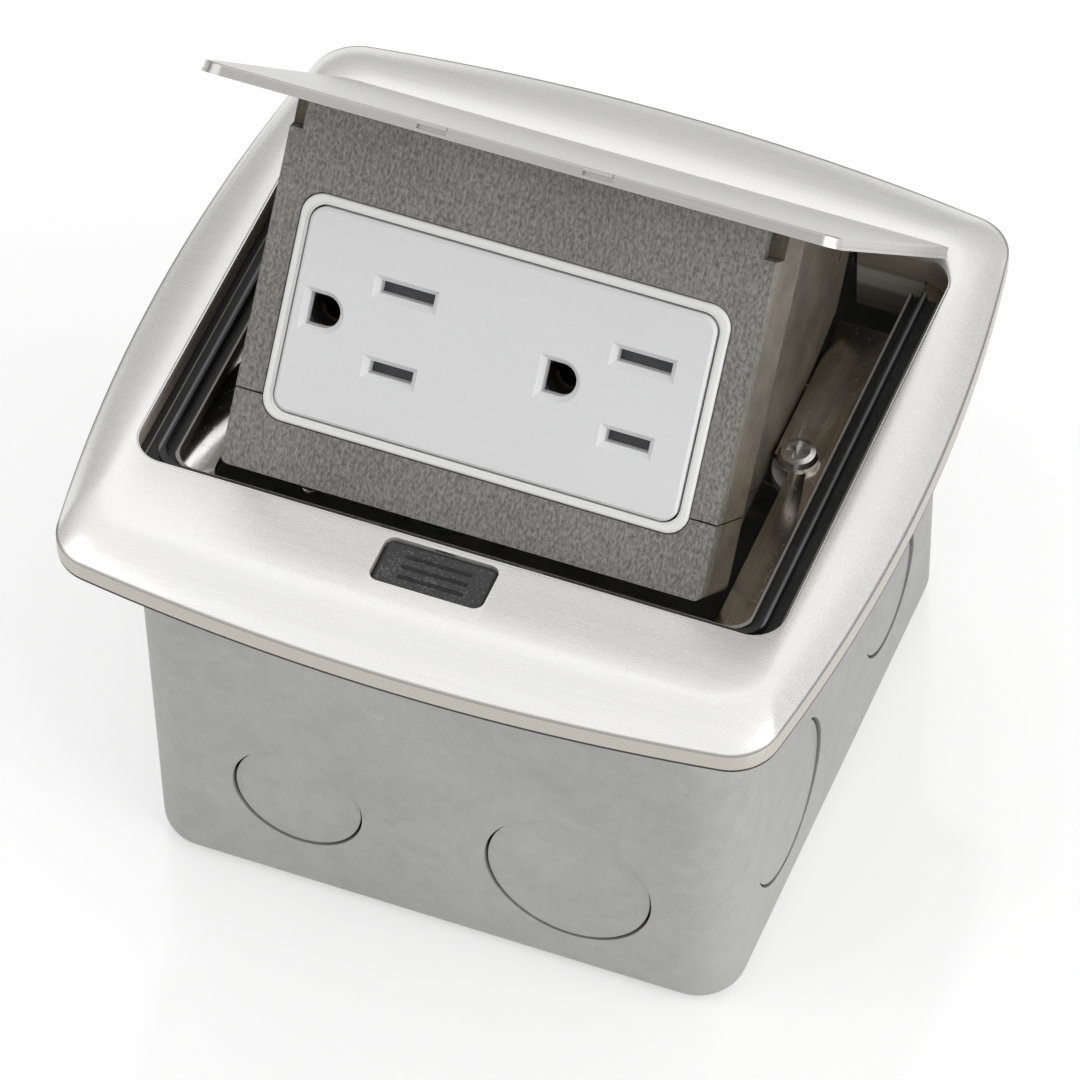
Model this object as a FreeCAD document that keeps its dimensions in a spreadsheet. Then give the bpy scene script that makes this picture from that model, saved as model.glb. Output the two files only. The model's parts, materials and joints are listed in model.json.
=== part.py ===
"""Pop-up floor socket box: a drawn steel back box under a domed metal flange, with a hinged
lid and cast carrier that lift a twin outlet out of the floor.

The frame has its origin under the middle of the flange, at the level of the box's foot.
X runs to the right along the opening's long side, Y to the back and Z up. Lengths are in
millimetres. The lid is modelled shut, in a frame on the hinge pin, and the carrier in a frame
on the outlet's face; both are then placed in the raised position.
"""

import FreeCAD
import Part
import Sketcher
import math
import os

from FreeCAD import Placement, Rotation, Vector

document = FreeCAD.newDocument("floor_socket_box")

# Driving dimensions: alias, value and what it is.
DRIVING_DIMENSIONS = [
    ("box_width_top", 101.6, "outer width of the back box at its mouth"),
    ("box_width_foot", 99.6, "outer width of the back box at its foot"),
    ("box_height", 76.2, "height of the back box"),
    ("box_wall", 1.6, "wall of the back box"),
    ("box_corner", 8.0, "upright corner radius of the back box"),
    ("box_foot_radius", 4.0, "radius round the foot of the back box"),
    ("box_back_shift", 2.0, "how far the box sits behind the middle of the flange"),
    ("knockout_small_radius", 11.1, "half inch knockout"),
    ("knockout_large_radius", 14.1, "three quarter inch knockout"),
    ("knockout_spread", 23.0, "knockout centres from the middle of the wall"),
    ("knockout_height", 23.3, "knockout centres above the foot"),
    ("knockout_slit", 0.45, "width of the punched slit"),
    ("knockout_push", 0.5, "how far a knockout is pushed in"),
    ("frame_thickness", 1.4, "sheet of the mounting frame"),
    ("frame_half_width", 54.9, "half of the mounting frame's width"),
    ("frame_front", 54.0, "mounting frame in front of the origin"),
    ("frame_back", 54.0, "mounting frame behind the origin"),
    ("frame_corner", 8.0, "outer corner radius of the mounting frame"),
    ("well_half_width", 41.8, "half width of the well that the carrier sinks through"),
    ("well_waist", 38.3, "half width of the well behind the frame screws"),
    ("well_front", 34.1, "front edge of the well, ahead of the origin"),
    ("ledge_back", 32.0, "back end of the ledges beside the well"),
    ("bay_back", 46.1, "back edge of the bay behind the ledges"),
    ("bay_half_width", 48.4, "half width of that bay"),
    ("hinge_bay_back", 48.4, "back edge of the bay at the hinge"),
    ("well_corner", 4.0, "corner radius of the well"),
    ("flange_half_width", 63.8, "half of the flange's width at its widest"),
    ("flange_half_depth", 62.1, "half of the flange's depth at its deepest"),
    ("flange_side_radius", 295.0, "arc of the flange's left and right edges"),
    ("flange_front_radius", 360.0, "arc of the flange's front and back edges"),
    ("flange_corner", 8.0, "corner radius of the flange"),
    ("flange_rim", 3.0, "height of the flange's upright rim"),
    ("flange_dome", 3.6, "rise of the flange from rim to opening"),
    ("flange_wall", 1.6, "thickness of the flange"),
    ("floor_gasket_thickness", 0.7, "foam ring under the flange's rim"),
    ("floor_gasket_width", 3.4, "width of that ring"),
    ("floor_gasket_inset", 0.5, "that ring inside the flange's edge"),
    ("opening_half_width", 53.4, "half width of the flange's opening"),
    ("opening_half_depth", 40.9, "half depth of the flange's opening"),
    ("opening_back_shift", 3.5, "how far the opening sits behind the middle"),
    ("opening_corner", 5.2, "corner radius of the opening"),
    ("skirt_wall", 1.2, "wall of the skirt round the opening"),
    ("skirt_depth_back", 15.5, "depth of the skirt at the back of the opening"),
    ("hinge_back", 45.5, "hinge pin behind the origin"),
    ("hinge_drop", 5.0, "hinge pin below the top of the flange"),
    ("hinge_pin_radius", 1.25, "radius of the hinge pin"),
    ("hinge_pin_half_length", 36.0, "half of the hinge pin's length"),
    ("hinge_clearance", 0.06, "running clearance round the hinge pin"),
    ("hinge_knuckle_radius", 2.4, "radius of the knuckles on the pin"),
    ("arm_width", 6.0, "width of a hinge arm"),
    ("arm_spread", 26.0, "middle of a hinge arm from the middle plane"),
    ("lift_angle", 47.4, "how far lid and carrier swing up, degrees"),
    ("lid_margin", 1.6, "gap beside and behind the shut lid"),
    ("lid_margin_front", 0.7, "gap in front of the shut lid"),
    ("lid_thickness", 1.8, "thickness of the lid"),
    ("lid_step", 0.2, "width of the step round the lid"),
    ("lid_step_height", 0.5, "thickness of the lid below that step"),
    ("lid_edge_round", 0.3, "round on the lid's upper edge"),
    ("lid_catch_depth", 1.0, "depth of the lid's notches for the latch"),
    ("lid_corner", 4.0, "corner radius of the lid"),
    ("face_lean", 36.7, "lean of the raised outlet face from upright, degrees"),
    ("face_ahead", 17.0, "middle of the raised face ahead of the origin"),
    ("face_height", "=box_height + 28.2", "middle of the raised face above the foot"),
    ("face_half_width", 39.7, "half width of the casting's front face"),
    ("face_bottom", 27.3, "bottom of the casting below the face's middle"),
    ("face_plate", 3.0, "thickness of the casting's front plate"),
    ("seam_drop", 14.8, "seam between the castings below the face's middle"),
    ("seam_gap", 0.3, "gap at that seam"),
    ("rim_bevel", 1.4, "how far the front frame's bevel spreads outwards"),
    ("rim_depth", 9.5, "depth of the casting's front frame"),
    ("cheek_half_width", 37.8, "half width over the casting's cheeks"),
    ("cheek_wall", 1.8, "thickness of a cheek"),
    ("bezel_width", "=outlet_width + 3.7", "width of the white bezel"),
    ("bezel_height", "=outlet_height + 3.6", "height of the white bezel"),
    ("bezel_corner", 3.6, "corner radius of the white bezel"),
    ("bezel_proud", 0.5, "bezel in front of the casting"),
    ("outlet_width", 66.5, "width of the outlet's face"),
    ("outlet_height", 33.0, "height of the outlet's face"),
    ("outlet_corner", 2.6, "corner radius of the outlet's face"),
    ("outlet_proud", 0.9, "outlet's face in front of the casting"),
    ("outlet_plate", 3.0, "thickness of the outlet's face plate"),
    ("outlet_lift", 0.3, "outlets above the middle of their face"),
    ("outlet_spacing", 38.9, "distance between the two outlets"),
    ("blade_spacing", 12.7, "distance between the blade slots"),
    ("blade_offset", 3.6, "blade slots to the right of the outlet's middle"),
    ("earth_offset", 8.8, "earth hole to the left of the outlet's middle"),
    ("neutral_slot_length", 8.8, "length of the longer blade slot"),
    ("line_slot_length", 7.1, "length of the shorter blade slot"),
    ("slot_width", 2.0, "width of a blade slot"),
    ("slot_bevel", 0.9, "bevel round a blade slot"),
    ("earth_radius", 2.6, "radius of the earth hole"),
    ("housing_depth", 21.0, "depth of the outlet's housing"),
    ("housing_height", 32.0, "height of the outlet's housing"),
    ("shutter_travel", 3.2, "travel of a shutter"),
    ("shutter_thickness", 1.2, "thickness of a shutter"),
    ("contact_sheet", 0.6, "sheet of the spring contacts"),
    ("ledge_screw_side", 42.2, "frame screw from the middle plane"),
    ("ledge_screw_back", 2.9, "frame screw behind the origin"),
    ("ledge_screw_radius", 1.6, "radius of the frame screw's thread"),
    ("screw_clearance", 0.25, "clearance round a screw in a plain hole"),
    ("button_width", 18.4, "width of the release button"),
    ("button_depth", 8.6, "depth of the release button"),
    ("button_ahead", 43.0, "middle of the button ahead of the origin"),
    ("button_corner", 1.5, "corner radius of the button"),
    ("button_gap", 0.2, "gap round the button"),
    ("seal_width", 6.0, "width of the lid seal at the sides"),
    ("seal_width_front", 3.1, "width of the lid seal at the front"),
    ("seal_height", 2.2, "height of the lid seal on the frame"),
    ("seal_ridge", 1.6, "height of the ridge on the lid seal"),
]


class Amount:
    """A number together with the formula on the sheet that gives it."""

    def __init__(self, value, formula):
        self.value = float(value)
        self.formula = formula

    def __float__(self):
        return self.value

    def _join(self, other, sign, value, swap=False):
        left, right = as_amount(self), as_amount(other)
        if swap:
            left, right = right, left
        return Amount(value, f"({left.formula} {sign} {right.formula})")

    def __add__(self, other):
        return self._join(other, "+", self.value + float(other))

    def __radd__(self, other):
        return self._join(other, "+", float(other) + self.value, swap=True)

    def __sub__(self, other):
        return self._join(other, "-", self.value - float(other))

    def __rsub__(self, other):
        return self._join(other, "-", float(other) - self.value, swap=True)

    def __mul__(self, other):
        return self._join(other, "*", self.value * float(other))

    def __rmul__(self, other):
        return self._join(other, "*", float(other) * self.value, swap=True)

    def __truediv__(self, other):
        return self._join(other, "/", self.value / float(other))

    def __neg__(self):
        return Amount(-self.value, f"(-1 * {self.formula})")


def as_amount(number):
    """A plain number as an Amount, and an Amount as it is."""
    return number if isinstance(number, Amount) else Amount(number, repr(float(number)))


sheet = document.addObject("Spreadsheet::Sheet", "sizes")
for row, (alias, value, meaning) in enumerate(DRIVING_DIMENSIONS, start=1):
    sheet.set(f"A{row}", meaning)
    sheet.set(f"B{row}", str(value))
    sheet.setAlias(f"B{row}", alias)
document.recompute()


def size(alias):
    """A driving dimension by its name on the sheet."""
    return Amount(sheet.get(alias), f"sizes.{alias}")


def size_value(alias):
    """A driving dimension as a plain number."""
    return float(size(alias))


# Levels and places that follow from the driving dimensions.
frame_top = size("box_height") + size("frame_thickness")
far_below = size("box_height") - 26.2
far_above = size("box_height") + 23.8
flange_foot = size("box_height") + size("floor_gasket_thickness")
rim_top = flange_foot + size("flange_rim")
flange_top = rim_top + size("flange_dome")
hinge_height = flange_top - size("hinge_drop")
opening_front = size("opening_half_depth") - size("opening_back_shift")
opening_back = size("opening_half_depth") + size("opening_back_shift")
lid_back = opening_back - size("lid_margin")
lid_front = opening_front - size("lid_margin_front")
lid_half_width = size("opening_half_width") - size("lid_margin")
lid_underside = size("hinge_drop") - size("lid_thickness")
rim_half_width = size("face_half_width") + size("rim_bevel")

SHUT_TO_RAISED = Rotation(Vector(1, 0, 0), -float(size("lift_angle")))
LEAN = Rotation(Vector(1, 0, 0), -float(size("face_lean")))
LID_PLACE = Placement(Vector(0, float(size("hinge_back")), float(hinge_height)), SHUT_TO_RAISED)
FACE_PLACE = Placement(Vector(0, -float(size("face_ahead")), float(size("face_height"))), LEAN)
TO_FACE = FACE_PLACE.inverse().multiply(LID_PLACE)

finished = []


def finish(piece, label, placement=None):
    """Name a finished piece after its file and put it in its place."""
    piece.Label = label
    if placement is not None:
        piece.Placement = placement
    finished.append(piece)
    return piece


def feature(label, shape, placement=None):
    """A piece whose solid is worked out from the sheet."""
    piece = document.addObject("Part::Feature", label)
    piece.Shape = shape.removeSplitter()
    return finish(piece, label, placement)


def bind(target, **formulas):
    """Tie properties of an object to the sheet."""
    for name, amount in formulas.items():
        target.setExpression(name, as_amount(amount).formula)
    return target


# Plain solids.


def block(low, high):
    """A box between two corners."""
    low = Vector(*[float(value) for value in low])
    high = Vector(*[float(value) for value in high])
    span = high - low
    return Part.makeBox(span.x, span.y, span.z, low)


def rod(radius, start, end):
    """A cylinder from one point to another."""
    start = Vector(*[float(value) for value in start])
    end = Vector(*[float(value) for value in end])
    run = end - start
    return Part.makeCylinder(float(radius), run.Length, start, run)


def mirrored(shape):
    """The same shape on the other side of the middle plane."""
    return shape.mirror(Vector(0, 0, 0), Vector(1, 0, 0))


def both_sides(shape):
    """A shape together with its mirror image."""
    return shape.fuse(mirrored(shape))


def slab(outline, low, high):
    """An outline drawn at any level, made into a solid from one level to another."""
    wire = outline.copy()
    wire.translate(Vector(0, 0, float(low) - wire.BoundBox.ZMin))
    return Part.Face(wire).extrude(Vector(0, 0, float(high) - float(low)))


def rounded_outline(left, right, front, back, radius, level=0.0):
    """A rectangle with round corners, as four lines and four arcs."""
    left, right, front, back = float(left), float(right), float(front), float(back)
    radius, level = float(radius), float(level)
    diagonal = radius * (1 - math.sqrt(0.5))
    corners = [(right, back, 1, 1), (left, back, -1, 1), (left, front, -1, -1), (right, front, 1, -1)]
    edges = []
    previous = None
    first = None
    for number, (x, y, side, end) in enumerate(corners):
        upright = Vector(x, y - end * radius, level)
        level_point = Vector(x - side * radius, y, level)
        middle = Vector(x - side * diagonal, y - end * diagonal, level)
        start, stop = (upright, level_point) if number % 2 == 0 else (level_point, upright)
        if previous is not None:
            edges.append(Part.LineSegment(previous, start).toShape())
        edges.append(Part.Arc(start, middle, stop).toShape())
        first = first or start
        previous = stop
    edges.append(Part.LineSegment(previous, first).toShape())
    return Part.Wire(edges)


def centred_outline(half_width, half_depth, radius, level=0.0, shift=0.0):
    """A round-cornered rectangle about a point on the middle plane."""
    shift = float(shift)
    half_depth = float(half_depth)
    return rounded_outline(-float(half_width), half_width, shift - half_depth, shift + half_depth,
                           radius, level)


def pillow_outline(half_width, half_depth, side_radius, front_radius, corner, shift, level):
    """Four bulging sides joined by round corners.

    Each side is an arc about a point on the other axis. A corner's centre lies where the two
    arcs meet once both are drawn in by the corner's radius.
    """
    side_centre = half_width - side_radius
    front_centre = half_depth - front_radius
    inner_side = side_radius - corner
    inner_front = front_radius - corner
    span = math.hypot(side_centre, front_centre)
    along = (inner_side ** 2 - inner_front ** 2 + span ** 2) / (2 * span)
    across = math.sqrt(inner_side ** 2 - along ** 2)
    to_front = Vector(-side_centre, front_centre, 0) / span
    across_way = Vector(-to_front.y, to_front.x, 0)
    candidates = [Vector(side_centre, 0, 0) + to_front * along + across_way * across * sign
                  for sign in (1, -1)]
    centre = max(candidates, key=lambda point: point.x + point.y)
    side_end = math.atan2(centre.y, centre.x - side_centre)
    front_end = math.atan2(centre.y - front_centre, centre.x)

    def place(x, y):
        return Vector(x, y + shift, level)

    def side_point(angle, sign):
        return place(sign * (side_centre + side_radius * math.cos(angle)), side_radius * math.sin(angle))

    def corner_point(angle, sign_x, sign_y):
        return place(sign_x * (centre.x + corner * math.cos(angle)),
                     sign_y * (centre.y + corner * math.sin(angle)))

    def front_point(angle, sign):
        return place(front_radius * math.cos(angle),
                     sign * (front_centre + front_radius * math.sin(angle)))

    middle = (side_end + front_end) / 2
    up = math.pi / 2
    arcs = [
        (side_point(-side_end, 1), side_point(0, 1), side_point(side_end, 1)),
        (corner_point(side_end, 1, 1), corner_point(middle, 1, 1), corner_point(front_end, 1, 1)),
        (front_point(front_end, 1), front_point(up, 1), front_point(math.pi - front_end, 1)),
        (corner_point(front_end, -1, 1), corner_point(middle, -1, 1), corner_point(side_end, -1, 1)),
        (side_point(side_end, -1), side_point(0, -1), side_point(-side_end, -1)),
        (corner_point(side_end, -1, -1), corner_point(middle, -1, -1), corner_point(front_end, -1, -1)),
        (front_point(math.pi - front_end, -1), front_point(up, -1), front_point(front_end, -1)),
        (corner_point(front_end, 1, -1), corner_point(middle, 1, -1), corner_point(side_end, 1, -1)),
    ]
    edges = []
    for number, (start, between, stop) in enumerate(arcs):
        start = arcs[number - 1][2] if number else start
        stop = arcs[0][0] if number == len(arcs) - 1 else stop
        edges.append(Part.Arc(start, between, stop).toShape())
    return Part.Wire(edges)


def profile_solid(points, start, span):
    """A closed outline in the upright plane across X, made into a solid along X."""
    corners = [Vector(float(start), float(y), float(z)) for y, z in points]
    face = Part.Face(Part.makePolygon(corners + corners[:1]))
    return face.extrude(Vector(float(span), 0, 0))


def ring_about(points, centre, way):
    """A profile of radius and height pairs, turned about an axis."""
    corners = [Vector(float(radius), 0, float(height)) for radius, height in points]
    solid = Part.Face(Part.makePolygon(corners + corners[:1])).revolve(
        Vector(0, 0, 0), Vector(0, 0, 1), 360)
    solid.Placement = Placement(Vector(*[float(value) for value in centre]),
                                Rotation(Vector(0, 0, 1), Vector(*way)))
    return solid


def cross_recess(centre, way, width, depth):
    """The cross-shaped pit in a screw's head."""
    long_way = Part.makeBox(width, width * 0.28, depth * 2, Vector(-width / 2, -width * 0.14, -depth))
    cross_way = long_way.copy()
    cross_way.rotate(Vector(0, 0, 0), Vector(0, 0, 1), 90)
    pit = long_way.fuse(cross_way).fuse(Part.makeCone(width * 0.1, width * 0.26, depth * 2,
                                                      Vector(0, 0, -depth)))
    pit.Placement = Placement(Vector(*[float(value) for value in centre]),
                              Rotation(Vector(0, 0, 1), Vector(*way)))
    return pit


def pan_screw(seat, way, thread_radius, thread_length, head_radius, head_height):
    """A pan-head screw whose head sits on a point and whose thread runs back from it."""
    thread_radius, head_radius = float(thread_radius), float(head_radius)
    thread_length, head_height = float(thread_length), float(head_height)
    tip = thread_radius * 0.6
    points = [(0, -thread_length), (tip, -thread_length), (thread_radius, tip - thread_length),
              (thread_radius, 0), (head_radius, 0), (head_radius, head_height * 0.45),
              (head_radius * 0.86, head_height * 0.86), (head_radius * 0.6, head_height),
              (0, head_height)]
    body = ring_about(points, seat, way)
    crown = Vector(*[float(value) for value in seat]) + Vector(*way).normalize() * head_height
    return body.cut(cross_recess(tuple(crown), way, head_radius * 1.15, head_height * 0.55))


# Sketches and bodies.


def new_body(label):
    """An empty body."""
    return document.addObject("PartDesign::Body", label + "_body")


def sketch_on(body, plane_role, name, offset=None):
    """A sketch on one of a body's own origin planes, lifted off it by an amount."""
    sketch = body.newObject("Sketcher::SketchObject", name)
    plane = next(item for item in body.Origin.OriginFeatures if item.Role == plane_role)
    sketch.AttachmentSupport = [(plane, "")]
    sketch.MapMode = "FlatFace"
    if offset is not None:
        sketch.setExpression("AttachmentOffset.Base.z", as_amount(offset).formula)
        sketch.AttachmentOffset = Placement(Vector(0, 0, float(offset)), Rotation())
    return sketch


def draw_rounded_rectangle(sketch, half_width, front, back, radius):
    """A round-cornered rectangle about the upright axis, its sizes tied to the sheet."""
    width, low, high, turn = float(half_width), -float(front), float(back), float(radius)
    geometry = [
        Part.LineSegment(Vector(-width + turn, low, 0), Vector(width - turn, low, 0)),
        Part.LineSegment(Vector(width, low + turn, 0), Vector(width, high - turn, 0)),
        Part.LineSegment(Vector(width - turn, high, 0), Vector(-width + turn, high, 0)),
        Part.LineSegment(Vector(-width, high - turn, 0), Vector(-width, low + turn, 0)),
    ]
    quarter = math.pi / 2
    centres = [(width - turn, low + turn, 3), (width - turn, high - turn, 0),
               (-width + turn, high - turn, 1), (-width + turn, low + turn, 2)]
    for x, y, turns in centres:
        circle = Part.Circle(Vector(x, y, 0), Vector(0, 0, 1), turn)
        geometry.append(Part.ArcOfCircle(circle, turns * quarter, (turns + 1) * quarter))
    first = sketch.addGeometry(geometry, False)[0]
    line = [first + number for number in range(4)]
    arc = [first + 4 + number for number in range(4)]
    for number in range(4):
        sketch.addConstraint(Sketcher.Constraint("Tangent", line[number], 2, arc[number], 1))
        sketch.addConstraint(Sketcher.Constraint("Tangent", arc[number], 2, line[(number + 1) % 4], 1))
    for number in (0, 2):
        sketch.addConstraint(Sketcher.Constraint("Horizontal", line[number]))
        sketch.addConstraint(Sketcher.Constraint("Vertical", line[number + 1]))
    for number in range(3):
        sketch.addConstraint(Sketcher.Constraint("Equal", arc[number], arc[number + 1]))
    tied = [
        (Sketcher.Constraint("Radius", arc[0], turn), radius),
        (Sketcher.Constraint("DistanceX", -1, 1, line[1], 1, width), half_width),
        (Sketcher.Constraint("DistanceX", line[3], 1, -1, 1, width), half_width),
        (Sketcher.Constraint("DistanceY", line[0], 1, -1, 1, -low), front),
        (Sketcher.Constraint("DistanceY", -1, 1, line[2], 1, high), back),
    ]
    for constraint, amount in tied:
        number = sketch.addConstraint(constraint)
        sketch.setExpression(f"Constraints[{number}]", as_amount(amount).formula)


def pad(body, sketch, height, name, downwards=False):
    """Raise a sketch into a solid."""
    solid = body.newObject("PartDesign::Pad", name)
    solid.Profile = sketch
    solid.Reversed = downwards
    bind(solid, Length=height)
    body.Tip = solid
    return solid


def pocket(body, sketch, depth, name, upwards=False):
    """Sink a sketch into the solid."""
    hollow = body.newObject("PartDesign::Pocket", name)
    hollow.Profile = sketch
    hollow.Reversed = upwards
    bind(hollow, Length=depth)
    body.Tip = hollow
    return hollow


def cut_away(label, base, tools, placement=None):
    """A body less some solids."""
    document.recompute()
    tool = document.addObject("Part::Feature", label + "_cuts")
    tool.Shape = tools[0].multiFuse(tools[1:]) if len(tools) > 1 else tools[0]
    piece = document.addObject("Part::Cut", label)
    piece.Base = base
    piece.Tool = tool
    return finish(piece, label, placement)


# The back box: a drawn steel can with knockouts pushed in on all four walls.


def drafted_bulk(label, foot_level, inset, foot_radius, extra):
    """A solid that widens upwards from its foot, with every edge of the foot rounded."""
    body = new_body(label)
    half = size("box_width_foot") / 2 - inset
    foot = sketch_on(body, "XY_Plane", label + "_foot", foot_level)
    draw_rounded_rectangle(foot, half, half - size("box_back_shift"), half + size("box_back_shift"),
                           size("box_corner") - inset)
    rise = pad(body, foot, size("box_height") - foot_level + extra, label + "_rise")
    rise.setExpression("TaperAngle", "atan((sizes.box_width_top - sizes.box_width_foot)"
                                     " / 2 / sizes.box_height)")
    document.recompute()
    level = float(foot_level) + 0.01
    edges = [f"Edge{number}" for number, edge in enumerate(rise.Shape.Edges, start=1)
             if edge.BoundBox.ZMax < level]
    rounding = body.newObject("PartDesign::Fillet", label + "_round")
    rounding.Base = (rise, edges)
    bind(rounding, Radius=foot_radius)
    body.Tip = rounding
    document.recompute()
    return body


can = drafted_bulk("box_outside", Amount(0, "0"), Amount(0, "0"), size("box_foot_radius"), 0)
hollow = drafted_bulk("box_inside", size("box_wall"), size("box_wall"),
                      size("box_foot_radius") - size("box_wall"), 1)
can_shell = document.addObject("Part::Cut", "box_shell")
can_shell.Base = can
can_shell.Tool = hollow
document.recompute()

box_draft = math.atan(float((size("box_width_top") - size("box_width_foot")) / 2 / size("box_height")))
wall_half_at_foot = float(size("box_width_foot")) / 2


def knockout_tools(radius, across, turn):
    """The cuts and the inner disc of one knockout, on the wall that faces a quarter turn."""
    radius = float(radius)
    slit = float(size("knockout_slit"))
    push = float(size("knockout_push"))
    wall = float(size("box_wall"))
    ring = Part.makeCylinder(radius, wall * 3, Vector(0, 0, -wall * 1.5)).cut(
        Part.makeCylinder(radius - slit, wall * 3, Vector(0, 0, -wall * 1.5)))
    tab = Part.makeBox(3.2, radius, wall * 3, Vector(-1.6, radius / 2, -wall * 1.5))
    pressed = Part.makeCylinder(radius - slit / 2, push * 2, Vector(0, 0, -push))
    disc = Part.makeCylinder(radius - slit, push + 0.01, Vector(0, 0, -wall - push))
    height = float(size("knockout_height"))
    lean = math.degrees(box_draft)
    stand = Placement(Vector(float(across), 0, height), Rotation(Vector(1, 0, 0), 90 - lean))
    wall_face = Placement(Vector(0, -wall_half_at_foot - height * math.tan(box_draft), 0), Rotation())
    around = Placement(Vector(0, float(size("box_back_shift")), 0), Rotation(Vector(0, 0, 1), turn))
    place = around.multiply(wall_face).multiply(stand)
    cuts = ring.cut(tab).fuse(pressed)
    cuts.Placement = place
    disc.Placement = place
    return cuts, disc


spread = size("knockout_spread")
small, large = size("knockout_small_radius"), size("knockout_large_radius")
knockouts = [knockout_tools(small, -spread, 0), knockout_tools(large, spread, 0),
             knockout_tools(large, -spread, 90), knockout_tools(small, spread, 90),
             knockout_tools(small, spread, 180), knockout_tools(large, -spread, 180),
             knockout_tools(small, -spread, 270), knockout_tools(large, spread, 270)]

# The floor of the box has a dimple pressed up for the earthing screw.
ground_x, ground_y = -30.0, 30.0
ground_seat = size("box_wall") + 3.4
ground_thread = 1.9
dimple = ring_about([(0, 0.5), (9.0, 0.5), (6.0, ground_seat), (0, ground_seat)],
                    (ground_x, ground_y, 0), (0, 0, 1))
dimple_inside = ring_about([(0, -1), (8.6, -1), (7.6, 0), (4.6, ground_seat - 1.6), (0, ground_seat - 1.6)],
                           (ground_x, ground_y, 0), (0, 0, 1))
ground_hole = rod(ground_thread + 0.02, (ground_x, ground_y, -1), (ground_x, ground_y, 10))

can_and_discs = document.addObject("Part::Feature", "box_and_discs")
can_and_discs.Shape = can_shell.Shape.fuse([disc for cuts, disc in knockouts] + [dimple]).removeSplitter()
cut_away("back_box", can_and_discs, [cuts for cuts, disc in knockouts] + [dimple_inside, ground_hole])

feature("ground_screw", pan_screw((ground_x, ground_y, ground_seat), (0, 0, 1), ground_thread, 4.6, 4.4, 2.6))

# Lugs welded inside the side walls, tapped for the frame screws.
lug_thickness = 2.0
lug_top = size("box_height")
screw_x, screw_y = size("ledge_screw_side"), size("ledge_screw_back")
lug_foot = size_value("box_height") - 14.2
wall_inside_low = (wall_half_at_foot - size_value("box_wall") - 0.01
                   + math.tan(box_draft) * (lug_foot - size_value("box_wall")))
lug_leg_inside = wall_inside_low - lug_thickness
lug_plate = block((37.6, screw_y - 6, lug_top - lug_thickness), (wall_inside_low, screw_y + 6, lug_top))
lug_nose = rod(6.0, (44.2, screw_y, lug_top - lug_thickness), (44.2, screw_y, lug_top))
lug_tip = block((30, screw_y - 8, lug_top - 8), (44.2, screw_y + 8, lug_top + 1))
lug_leg = block((lug_leg_inside, screw_y - 6, lug_foot), (wall_inside_low, screw_y + 6, lug_top))
lug_nose = lug_nose.common(block((0, -50, 0), (wall_inside_low, 50, far_above)))
lug = lug_plate.cut(lug_tip).fuse(lug_nose).fuse(lug_leg)
lug = lug.fuse(rod(3.0, (screw_x, screw_y, lug_top - 4.5), (screw_x, screw_y, lug_top - 1)))
lug = lug.cut(rod(size("ledge_screw_radius") + 0.02, (screw_x, screw_y, far_below),
                  (screw_x, screw_y, far_above)))
feature("box_lugs", lug.fuse(mirrored(lug)))

# The mounting frame: a plate with a stepped well, ledges beside it and a bay for the hinge.
plate = new_body("mounting_frame")
plate_outline = sketch_on(plate, "XY_Plane", "frame_outline", size("box_height"))
draw_rounded_rectangle(plate_outline, size("frame_half_width"), size("frame_front"), size("frame_back"),
                       size("frame_corner"))
pad(plate, plate_outline, size("frame_thickness"), "frame_plate")
well = sketch_on(plate, "XY_Plane", "well_outline", size("box_height"))
draw_rounded_rectangle(well, size("well_half_width"), size("well_front"), size("ledge_screw_back") - 0.2,
                       size("well_corner"))
pocket(plate, well, size("frame_thickness"), "frame_well", upwards=True)
waist = sketch_on(plate, "XY_Plane", "waist_outline", size("box_height"))
draw_rounded_rectangle(waist, size("well_waist"), size("well_front") - 10, size("bay_back") - 2, 1.0)
pocket(plate, waist, size("frame_thickness"), "frame_waist", upwards=True)
bay = sketch_on(plate, "XY_Plane", "bay_outline", size("box_height"))
draw_rounded_rectangle(bay, size("bay_half_width"), -size("ledge_back"), size("bay_back"), 1.0)
pocket(plate, bay, size("frame_thickness"), "frame_bay", upwards=True)
hinge_bay = sketch_on(plate, "XY_Plane", "hinge_bay_outline", size("box_height"))
draw_rounded_rectangle(hinge_bay, size("hinge_pin_half_length") + 0.8, -size("ledge_back") - 4,
                       size("hinge_bay_back"), 1.0)
pocket(plate, hinge_bay, size("frame_thickness"), "frame_hinge_bay", upwards=True)
document.recompute()

screw_hole = size("ledge_screw_radius") + size("screw_clearance")
boss_places = [(34.5, -43.6), (43.6, 48.6)]
frame_holes = [rod(screw_hole, (screw_x, screw_y, far_below), (screw_x, screw_y, far_above))]
frame_holes += [rod(1.45, (x, y, far_below), (x, y, far_above)) for x, y in boss_places]
# A round notch in the waist ahead of each frame screw.
notch_x, notch_y = size("well_waist") - 0.4, screw_y - 5.2
frame_holes.append(rod(2.2, (notch_x, notch_y, far_below), (notch_x, notch_y, far_above)))
button_x = size("button_width") / 2
latch_arm = button_x + 4.2
latch_nose_half = 2.0
button_front = size("button_ahead") + size("button_depth") / 2
button_back = size("button_ahead") - size("button_depth") / 2
guide_hole = block((-8.6, -46.9, far_below), (8.6, -39.2, far_above))
cut_away("mounting_frame", plate, [both_sides(hole) for hole in frame_holes] + [guide_hole])

ledge_screw = pan_screw((screw_x, screw_y, frame_top), (0, 0, 1), size("ledge_screw_radius"), 10, 3.2, 2.1)
feature("frame_screws", both_sides(ledge_screw))

# The flange: a domed plate with an upright rim, a skirt round its opening and bosses below.


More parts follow.
